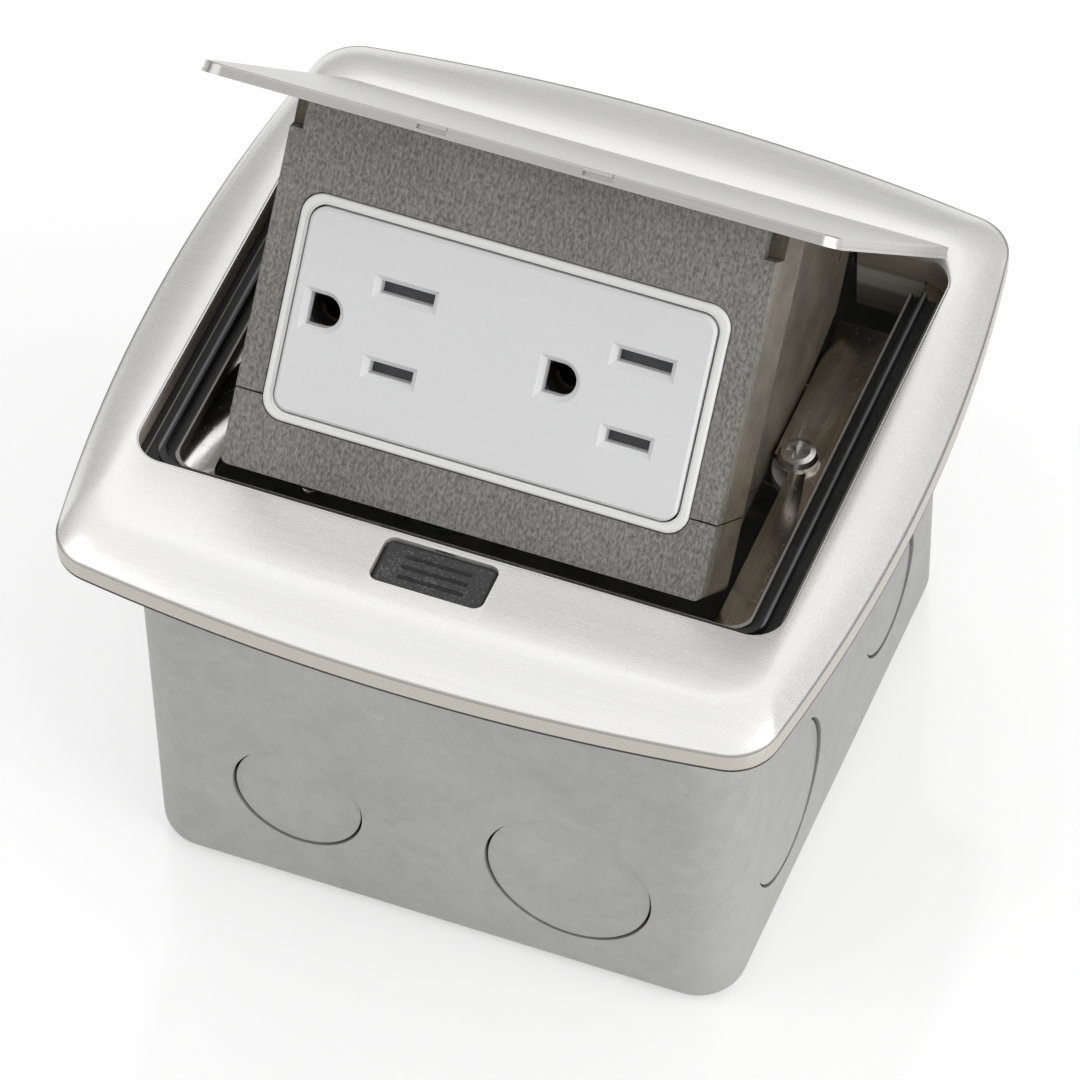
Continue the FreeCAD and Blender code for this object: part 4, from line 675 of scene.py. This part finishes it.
@dataclass(frozen=True)
class SealRubber:
    """Black seal rubber with dust in its pores, with painted highlights: grey lines along its ridge, lip and
    outer edge.
    """

    name: str
    black: Colour = (0.012, 0.012, 0.012)
    grey: Colour = (0.035, 0.035, 0.036)
    # painted highlight colours: the grey line on the ridge and the paler lines on the lip and the outer edge
    rub_marks_and_ridge_highlight: Colour = (0.21, 0.21, 0.22)
    wear_and_edge_highlight: Colour = (0.36, 0.345, 0.32)
    ridge_side: float = 50.0 * MM
    ridge_half: float = 0.21 * MM
    ridge_top: float = 81.24 * MM
    lip_foot: float = 80.09 * MM
    lip_top: float = 80.5 * MM
    lip_side: float = 47.73 * MM
    lip_front: float = -34.53 * MM
    edge_side: float = 52.15 * MM
    edge_half: float = 0.12 * MM
    edge_foot: float = 79.65 * MM
    edge_top: float = 79.95 * MM
    blur: float = 0.05 * MM

    def material(self) -> bpy.types.Material:
        """The finish as a material."""
        shader = Shader(self.name)
        pore = shader.noise(shader.moved((1500, 1500, 1500)), 2.0, 0.6)
        dust = shader.noise(shader.moved((90, 90, 90)), 2.0)
        across, along, up = shader.axes(shader.moved((1, 1, 1)))
        colour = shader.blend((0.5 * pore + 0.5 * dust).rise(0.35, 0.70), self.black, self.grey)
        # painted highlight along the ridge's top
        ridge = abs(abs(across) - self.ridge_side).below(self.ridge_half, 0.07 * MM)
        ridge = ridge * up.above(self.ridge_top, 0.06 * MM) * (0.5 + 0.5 * dust)
        colour = shader.blend(ridge, colour, self.rub_marks_and_ridge_highlight)
        # painted highlights along the lip and the outer edge
        lip = up.above(self.lip_foot, 0.06 * MM) * up.below(self.lip_top, self.blur)
        lip = lip * abs(across).below(self.lip_side, self.blur) * along.above(self.lip_front, self.blur)
        edge = abs(abs(across) - self.edge_side).below(self.edge_half, 0.04 * MM)
        edge = edge * up.below(self.edge_top, self.blur) * up.above(self.edge_foot, self.blur)
        colour = shader.blend((lip + edge) * (0.55 + 0.45 * pore), colour, self.wear_and_edge_highlight)
        return shader.surface({"Base Color": colour, "Roughness": 0.42 + 0.22 * pore}, pore, 0.04 * MM)


@dataclass(frozen=True)
class Finishes:
    """All the finishes of the object, made once."""

    surround_nickel: Finish = BrushedNickel("satin_nickel_surround", metal=0.58, skirt=True)
    galvanised: Finish = GalvanisedSheet("galvanised_sheet")
    zinc: Finish = CastZinc("cast_zinc_sandy")
    # painted shade: the lid's nickel is a darker copy of the surround's, for the duller light that its tilted
    # face reflects
    shaded_lid_nickel: Finish = BrushedNickel(
        "shaded_satin_nickel_lid", (0.55, 0.545, 0.525), (0.50, 0.495, 0.475), polish=0.20, metal=0.80
    )
    # the paler left half of this sheet is a painted reflection
    bright_sheet: Finish = PlatedSheet(
        "bright_nickel_sheet", (0.66, 0.605, 0.53), (0.34, 0.295, 0.24), 0.17, left_half_sheen=(0.93, 0.92, 0.895)
    )
    screw: Finish = PlatedSheet("zinc_plated_screw", (0.84, 0.84, 0.83), (0.60, 0.60, 0.59), 0.18)
    spring: Finish = PlatedSheet("spring_wire", (0.60, 0.60, 0.60), (0.38, 0.38, 0.38), 0.22)
    brass: Finish = PlatedSheet("rolled_brass", (0.80, 0.60, 0.26), (0.60, 0.42, 0.16), 0.22)
    green: Finish = PlatedSheet("green_earth_screw", (0.12, 0.46, 0.20), (0.07, 0.30, 0.12), 0.26)
    white: Finish = MouldedPlastic("white_bezel", (0.89, 0.89, 0.88), (0.85, 0.85, 0.84), 0.34)
    face: Finish = MouldedPlastic("pale_outlet_face", (0.805, 0.805, 0.808), (0.77, 0.77, 0.773), 0.40)
    # painted shade: the earth contacts' brass is darkened for the shade deep in their holes
    shaded_brass: Finish = PlatedSheet("shade_darkened_brass", (0.10, 0.075, 0.04), (0.05, 0.036, 0.02), 0.40)
    grey: Finish = MouldedPlastic("grey_shutter", (0.085, 0.085, 0.09), (0.06, 0.06, 0.063), 0.42)
    housing: Finish = MouldedPlastic(
        "black_housing", (0.03, 0.03, 0.03), (0.018, 0.018, 0.018), 0.42, grain_depth=0.02 * MM
    )
    latch: Finish = PlatedSheet("dark_latch_steel", (0.15, 0.145, 0.14), (0.09, 0.087, 0.083), 0.30)
    button: Finish = RibbedButton("black_ribbed_button")
    seal: Finish = SealRubber("black_seal")


class Workshop:
    """Dresses the solids of the frame and takes in new pieces."""

    def __init__(self, nodes: dict[str, bpy.types.Object], finishes: Finishes) -> None:
        """Keeps the solids and makes room for the materials.

        Args:
            nodes: the solids by name.
            finishes: the finishes to choose from.
        """
        self.nodes = nodes
        self.finishes = finishes
        self.made: dict[str, bpy.types.Material] = {}

    def coat(self, piece: bpy.types.Object, finish: Finish) -> None:
        """Gives a piece one finish.

        Args:
            piece: a solid of the frame or a new piece.
            finish: the finish.
        """
        if finish.name not in self.made:
            self.made[finish.name] = finish.material()
        piece.data.materials.clear()
        piece.data.materials.append(self.made[finish.name])

    def dress(self, node: str, finish: Finish, edge: float = 0.0) -> None:
        """Finishes a solid of the frame, and breaks its sharp edges.

        Args:
            node: the solid's name.
            finish: its finish.
            edge: the width of the small round on its edges, in metres, or 0.
        """
        piece = self.nodes[node]
        self.coat(piece, finish)
        if edge > 0:
            weld = piece.modifiers.new("joined_faces", "WELD")
            weld.merge_threshold = 2 * SAME_PLACE
            bevel = piece.modifiers.new("broken_edges", "BEVEL")
            bevel.width = edge
            bevel.segments = 2
            bevel.limit_method = "ANGLE"
            bevel.angle_limit = SHARP_ANGLE
            bevel.harden_normals = True
            for face in piece.data.polygons:
                face.use_smooth = True
        REPORT.info("dressed %s in %s", node, finish.name)

    def take_in(self, name: str, mesh: bmesh.types.BMesh, body: str, finish: Finish) -> None:
        """Turns a finished bmesh into a piece that rides on a body.

        Args:
            name: the piece's name.
            mesh: its shape, in metres, in the frame's own coordinates.
            body: the body that it moves with.
            finish: its finish.
        """
        data = bpy.data.meshes.new(name)
        bmesh.ops.remove_doubles(mesh, verts=mesh.verts, dist=SAME_PLACE)
        bmesh.ops.recalc_face_normals(mesh, faces=mesh.faces)
        for edge in mesh.edges:
            edge.smooth = edge.calc_face_angle(0.0) < SOFT_ANGLE
        for face in mesh.faces:
            face.smooth = True
        mesh.to_mesh(data)
        mesh.free()
        piece = bpy.data.objects.new(name, data)
        bpy.context.scene.collection.objects.link(piece)
        self.coat(piece, finish)
        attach(piece, body)
        REPORT.info("built %s on %s: %d faces", name, body, len(data.polygons))


@dataclass
class SteelBox:
    """The sheet steel box in the floor, with its lugs and its earth screw."""

    def build(self, shop: Workshop) -> None:
        """Dresses the box and what is fixed to it.

        Args:
            shop: dresses and takes in the pieces.
        """
        shop.dress("back_box", shop.finishes.galvanised)
        shop.dress("box_lugs", shop.finishes.galvanised)
        shop.dress("ground_screw", shop.finishes.green)


@dataclass
class Surround:
    """The domed surround with its gasket, its lid seal and the mounting frame, in millimetres."""

    rim: PillowOutline = PillowOutline(63.8, 62.1, 295.0, 360.0, 8.0)
    crown: PillowOutline = PillowOutline(53.9, 49.1, 6000.0, 6000.0, 9.0, -1.0)
    opening: PillowOutline = PillowOutline(53.4, 40.9, 9000.0, 9000.0, 5.2, 3.5)
    floor: float = 76.2
    foot: float = 76.95
    rim_top: float = 79.95
    crown_top: float = 83.55
    lip_depth: float = 0.6
    skin: float = 0.35
    roll_start: float = -0.15
    roll_steps: int = 12
    cut_past: float = 2.0
    frame_edge: float = 0.2
    button: PillowOutline = PillowOutline(9.4, 4.5, 9000.0, 9000.0, 1.7, -43.0)

    def roll(self, drop: float) -> list[list[Vector]]:
        """The rings of the rolled edge, from the rim up to the crown.

        Args:
            drop: how far below the outer face, in millimetres.

        Returns:
            The rings.
        """
        rings = []
        for step in range(self.roll_steps + 1):
            share = step / self.roll_steps
            rise = (self.crown_top - self.rim_top) * (1 - (1 - share) ** 2)
            outline = self.rim.grown(self.roll_start).towards(self.crown, share)
            rings.append(outline.points(self.rim_top + rise - drop))
        return rings

    def face(self) -> bmesh.types.BMesh:
        """The polished outer face: rim, rolled edge, flat crown and the opening's soft edge."""
        top, lip = self.crown_top, self.crown_top - self.lip_depth
        wall = ((-1.4, self.foot), (0.05, self.foot), (0.05, self.rim_top - 0.2), (0.0, self.rim_top - 0.07))
        soft = (
            (0.45, top), (0.22, top - 0.06), (0.05, top - 0.2), (-0.03, lip + 0.1), (-0.03, lip), (0.5, lip),
        )
        outer = [self.rim.grown(out).points(height) for out, height in wall]
        inner = [self.opening.grown(out).points(height) for out, height in soft]
        under = list(reversed(self.roll(self.skin)))
        mesh = ringed(outer + self.roll(0.0) + inner + under + outer[:1])
        tool = ringed([self.button.points(height) for height in (self.foot, top + self.cut_past)])
        bmesh.ops.holes_fill(tool, edges=[edge for edge in tool.edges if edge.is_boundary])
        bmesh.ops.recalc_face_normals(tool, faces=tool.faces)
        return pierced(mesh, tool)

    def gasket(self) -> bmesh.types.BMesh:
        """The gasket's outer lip between the rim and the floor: a thin black ring at the rim's foot, partly
        the real gasket and partly a dark line that stands in for the shadow gap under the rim.
        """
        section = ((-0.6, 0.69), (-0.12, 0.69), (0.0, 0.5), (-0.03, 0.2), (-0.25, 0.03), (-0.6, 0.03))
        return ringed([self.rim.grown(out).points(self.floor + up) for out, up in section + section[:1]])

    def build(self, shop: Workshop) -> None:
        """Dresses the surround's pieces.

        Args:
            shop: dresses and takes in the pieces.
        """
        shop.dress("floor_gasket", shop.finishes.seal)
        # the black lip is partly painted shadow under the rim
        shop.take_in("gasket_lip_and_shadow_line", self.gasket(), "base", shop.finishes.seal)
        shop.dress("top_flange", shop.finishes.surround_nickel)
        shop.take_in("surround_face", self.face(), "base", shop.finishes.surround_nickel)
        shop.dress("lid_seal", shop.finishes.seal)
        shop.dress("mounting_frame", shop.finishes.bright_sheet, self.frame_edge * MM)
        shop.dress("frame_screws", shop.finishes.screw)
        shop.dress("cover_screws", shop.finishes.screw)


@dataclass
class Hinge:
    """The lid's hinge with its two torsion springs."""

    def build(self, shop: Workshop) -> None:
        """Dresses the hinge's pieces.

        Args:
            shop: dresses and takes in the pieces.
        """
        shop.dress("hinge_bracket", shop.finishes.bright_sheet)
        shop.dress("hinge_pin", shop.finishes.screw)
        shop.dress("torsion_springs", shop.finishes.spring)


@dataclass
class Release:
    """The button in the surround's front, its spring and the latch behind it."""

    def build(self, shop: Workshop) -> None:
        """Dresses the release's pieces.

        Args:
            shop: dresses and takes in the pieces.
        """
        shop.dress("button_guide", shop.finishes.housing)
        shop.dress("button_spring", shop.finishes.spring)
        shop.dress("release_button", shop.finishes.button)
        shop.dress("latch_slide", shop.finishes.latch)


@dataclass
class Carrier:
    """The cast carrier that the lid plate lifts out of the box, in metres and degrees."""

    hinge: Triple = (0.0, 45.5 * MM, 78.5 * MM)
    lift: float = 47.4
    notch_place: Triple = (13.4 * MM, -81.7 * MM, 4.68 * MM)
    notch_size: Triple = (4.7 * MM, 0.96 * MM, 0.6 * MM)
    edge_round: float = 0.28 * MM

    def lip(self, side: Side) -> bmesh.types.BMesh:
        """The lid's outer edge over one of the two notches that the latch holds.

        Args:
            side: the notch that it covers.

        Returns:
            The edge, turned up with the lid.
        """
        mesh = bmesh.new()
        made = bmesh.ops.create_cube(mesh, size=1.0)["verts"]
        bmesh.ops.scale(mesh, vec=self.notch_size, verts=made)
        outer = [edge for edge in mesh.edges if all(end.co.y < 0 and end.co.z > 0 for end in edge.verts)]
        bmesh.ops.bevel(
            mesh, geom=outer, offset=self.edge_round, offset_type="OFFSET", segments=4, profile=0.5,
            affect="EDGES", material=-1,
        )
        across, along, up = self.notch_place
        bmesh.ops.translate(mesh, vec=(side.value * across, along, up), verts=mesh.verts)
        raised = Matrix.Rotation(math.radians(-self.lift), 3, "X")
        bmesh.ops.rotate(mesh, cent=(0, 0, 0), matrix=raised, verts=mesh.verts)
        bmesh.ops.translate(mesh, vec=self.hinge, verts=mesh.verts)
        return mesh

    def build(self, shop: Workshop) -> None:
        """Dresses the lid plate and the casting.

        Args:
            shop: dresses and takes in the pieces.
        """
        shop.dress("lid_plate", shop.finishes.shaded_lid_nickel)
        for side in Side:
            name = f"lid_lip_{side.name.lower()}"
            shop.take_in(name, self.lip(side), "carrier", shop.finishes.shaded_lid_nickel)
        shop.dress("carrier_face", shop.finishes.zinc)
        shop.dress("carrier_sill", shop.finishes.zinc)
        shop.dress("lid_screws", shop.finishes.screw)
        shop.dress("sill_screws", shop.finishes.screw)


@dataclass
class Outlet:
    """The double outlet in the carrier's window."""

    def build(self, shop: Workshop) -> None:
        """Dresses the outlet's pieces.

        Args:
            shop: dresses and takes in the pieces.
        """
        finishes = shop.finishes
        shop.dress("outlet_bezel", finishes.white)
        shop.dress("outlet_face", finishes.face)
        shop.dress("outlet_body", finishes.housing)
        shop.dress("outlet_strap", finishes.galvanised)
        shop.dress("strap_screws", finishes.screw)
        for contacts in ("neutral_contacts", "line_contacts"):
            shop.dress(contacts, finishes.brass)
        shop.dress("earth_contacts", finishes.shaded_brass)
        shop.dress("terminal_screws", finishes.brass)
        for shutter in ("shutter_left", "shutter_right"):
            shop.dress(shutter, finishes.grey)


@dataclass(frozen=True)
class PhotographView:
    """Where the photograph was taken from: degrees, metres, pixels of its frame and a film in mm."""

    azimuth: float = 22.778
    elevation: float = 50.144
    roll: float = -1.486
    distance: float = 1358.725 * MM
    focal_pixels: float = 8569.6
    frame_pixels: float = 1080.0
    film_width: float = 36.0
    reach: float = 50.0
    target: Triple = (1.103 * MM, -3.529 * MM, 47.617 * MM)

    def set_up(self) -> None:
        """Makes the scene's camera."""
        turn, lift, roll = (math.radians(angle) for angle in (self.azimuth, self.elevation, self.roll))
        back = Vector((math.sin(turn) * math.cos(lift), -math.cos(turn) * math.cos(lift), math.sin(lift)))
        level = Vector((math.cos(turn), math.sin(turn), 0.0))
        upright = back.cross(level)
        right = math.cos(roll) * level + math.sin(roll) * upright
        up = math.cos(roll) * upright - math.sin(roll) * level
        lens = bpy.data.cameras.new("photograph_lens")
        lens.sensor_width = self.film_width
        lens.lens = self.focal_pixels / self.frame_pixels * self.film_width
        lens.clip_end = self.reach
        camera = bpy.data.objects.new("photograph_view", lens)
        bpy.context.scene.collection.objects.link(camera)
        turned = Matrix((right, up, back)).transposed().to_4x4()
        camera.matrix_world = Matrix.Translation(Vector(self.target) + back * self.distance) @ turned
        bpy.context.scene.camera = camera


@dataclass(frozen=True)
class SoftLamp:
    """A large soft lamp that looks at the object, in metres and watts."""

    name: str
    place: Triple
    width: float
    power: float
    aim: Triple = (0.0, 0.0, 0.06)

    def hang(self) -> None:
        """Adds the lamp to the scene."""
        light = bpy.data.lights.new(self.name, "AREA")
        light.shape = "SQUARE"
        light.size = self.width
        light.energy = self.power
        lamp = bpy.data.objects.new(self.name, light)
        bpy.context.scene.collection.objects.link(lamp)
        turned = (Vector(self.aim) - Vector(self.place)).to_track_quat("-Z", "Y")
        lamp.matrix_world = Matrix.Translation(Vector(self.place)) @ turned.to_matrix().to_4x4()


@dataclass(frozen=True)
class Studio:
    """A glossy white floor, a pale room and soft lamps."""

    floor_half: float = 12.0
    floor_drop: float = 0.02 * MM
    floor_colour: Colour = (0.66, 0.66, 0.66)
    sky: tuple[tuple[float, float], ...] = (
        (0.0, 0.16), (0.13, 0.34), (0.42, 0.44), (0.62, 0.64), (0.75, 0.97), (0.88, 0.94), (1.0, 0.86),
    )
    glow: float = 0.405
    view: PhotographView = PhotographView()
    lamps: tuple[SoftLamp, ...] = (
        SoftLamp("overhead_lamp", (-0.37, 0.85, 1.17), 0.85, 0.6),
        SoftLamp("left_lamp", (-1.06, -0.62, 0.86), 0.9, 3.2),
        SoftLamp("side_lamp", (1.05, -0.25, 0.45), 1.0, 7.0),
    )

    def floor(self) -> None:
        """Lays the floor, which stays white round the object and keeps its shadow."""
        mesh = bmesh.new()
        bmesh.ops.create_grid(mesh, x_segments=1, y_segments=1, size=self.floor_half)
        data = bpy.data.meshes.new("studio_floor")
        mesh.to_mesh(data)
        mesh.free()
        sheet = bpy.data.objects.new("studio_floor", data)
        sheet.location = (0.0, 0.0, -self.floor_drop)
        bpy.context.scene.collection.objects.link(sheet)
        shader = Shader("glossy_white_floor")
        haze = shader.noise(shader.moved((3, 3, 3)), 1.0)
        path = shader.add("ShaderNodeLightPath")
        camera, glossy, through = (
            Value(shader, path.outputs[f"Is {kind} Ray"]) for kind in ("Camera", "Glossy", "Transmission")
        )
        seen = camera + glossy + through
        gloss = {"Base Color": self.floor_colour, "Roughness": 0.10 + 0.04 * haze, "Specular IOR Level": 0.5}
        body = shader.add("ShaderNodeBsdfPrincipled", sockets=gloss)
        white = {"Color": (1.0, 1.0, 1.0), "Strength": seen * self.glow}
        light = shader.add("ShaderNodeEmission", sockets=white)
        both = shader.add("ShaderNodeAddShader", sockets={0: body.outputs[0], 1: light.outputs[0]})
        shader.add("ShaderNodeOutputMaterial", sockets={"Surface": both.outputs[0]})
        data.materials.append(shader.material)

    def room(self) -> None:
        """Lights the scene from a pale room, brighter overhead than at the horizon."""
        world = bpy.data.worlds.new("pale_room")
        world.use_nodes = True
        nodes, links = world.node_tree.nodes, world.node_tree.links
        place = nodes.new("ShaderNodeTexCoord")
        split = nodes.new("ShaderNodeSeparateXYZ")
        ramp = nodes.new("ShaderNodeValToRGB")
        steps = ramp.color_ramp.elements
        for number, (height, level) in enumerate(self.sky):
            step = steps[number] if number < len(steps) else steps.new(height)
            step.position = height
            step.color = (level, level, level, 1.0)
        links.new(place.outputs["Generated"], split.inputs[0])
        links.new(split.outputs["Z"], ramp.inputs[0])
        links.new(ramp.outputs[0], nodes["Background"].inputs["Color"])
        nodes["Background"].inputs["Strength"].default_value = 1.0
        bpy.context.scene.world = world

    def set_up(self) -> None:
        """Makes the floor, the room, the lamps and the camera."""
        bpy.context.scene.view_settings.view_transform = "Standard"
        self.floor()
        self.room()
        for lamp in self.lamps:
            lamp.hang()
        self.view.set_up()


def main() -> None:
    """Dresses the frame, adds the scene's own pieces and sets up the studio."""
    logging.basicConfig(level=logging.INFO, format="%(message)s")
    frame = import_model()
    shop = Workshop(frame["nodes"], Finishes())
    for assembly in (SteelBox(), Surround(), Hinge(), Release(), Carrier(), Outlet()):
        assembly.build(shop)
    Studio().set_up()


if __name__ == "__main__":
    main()
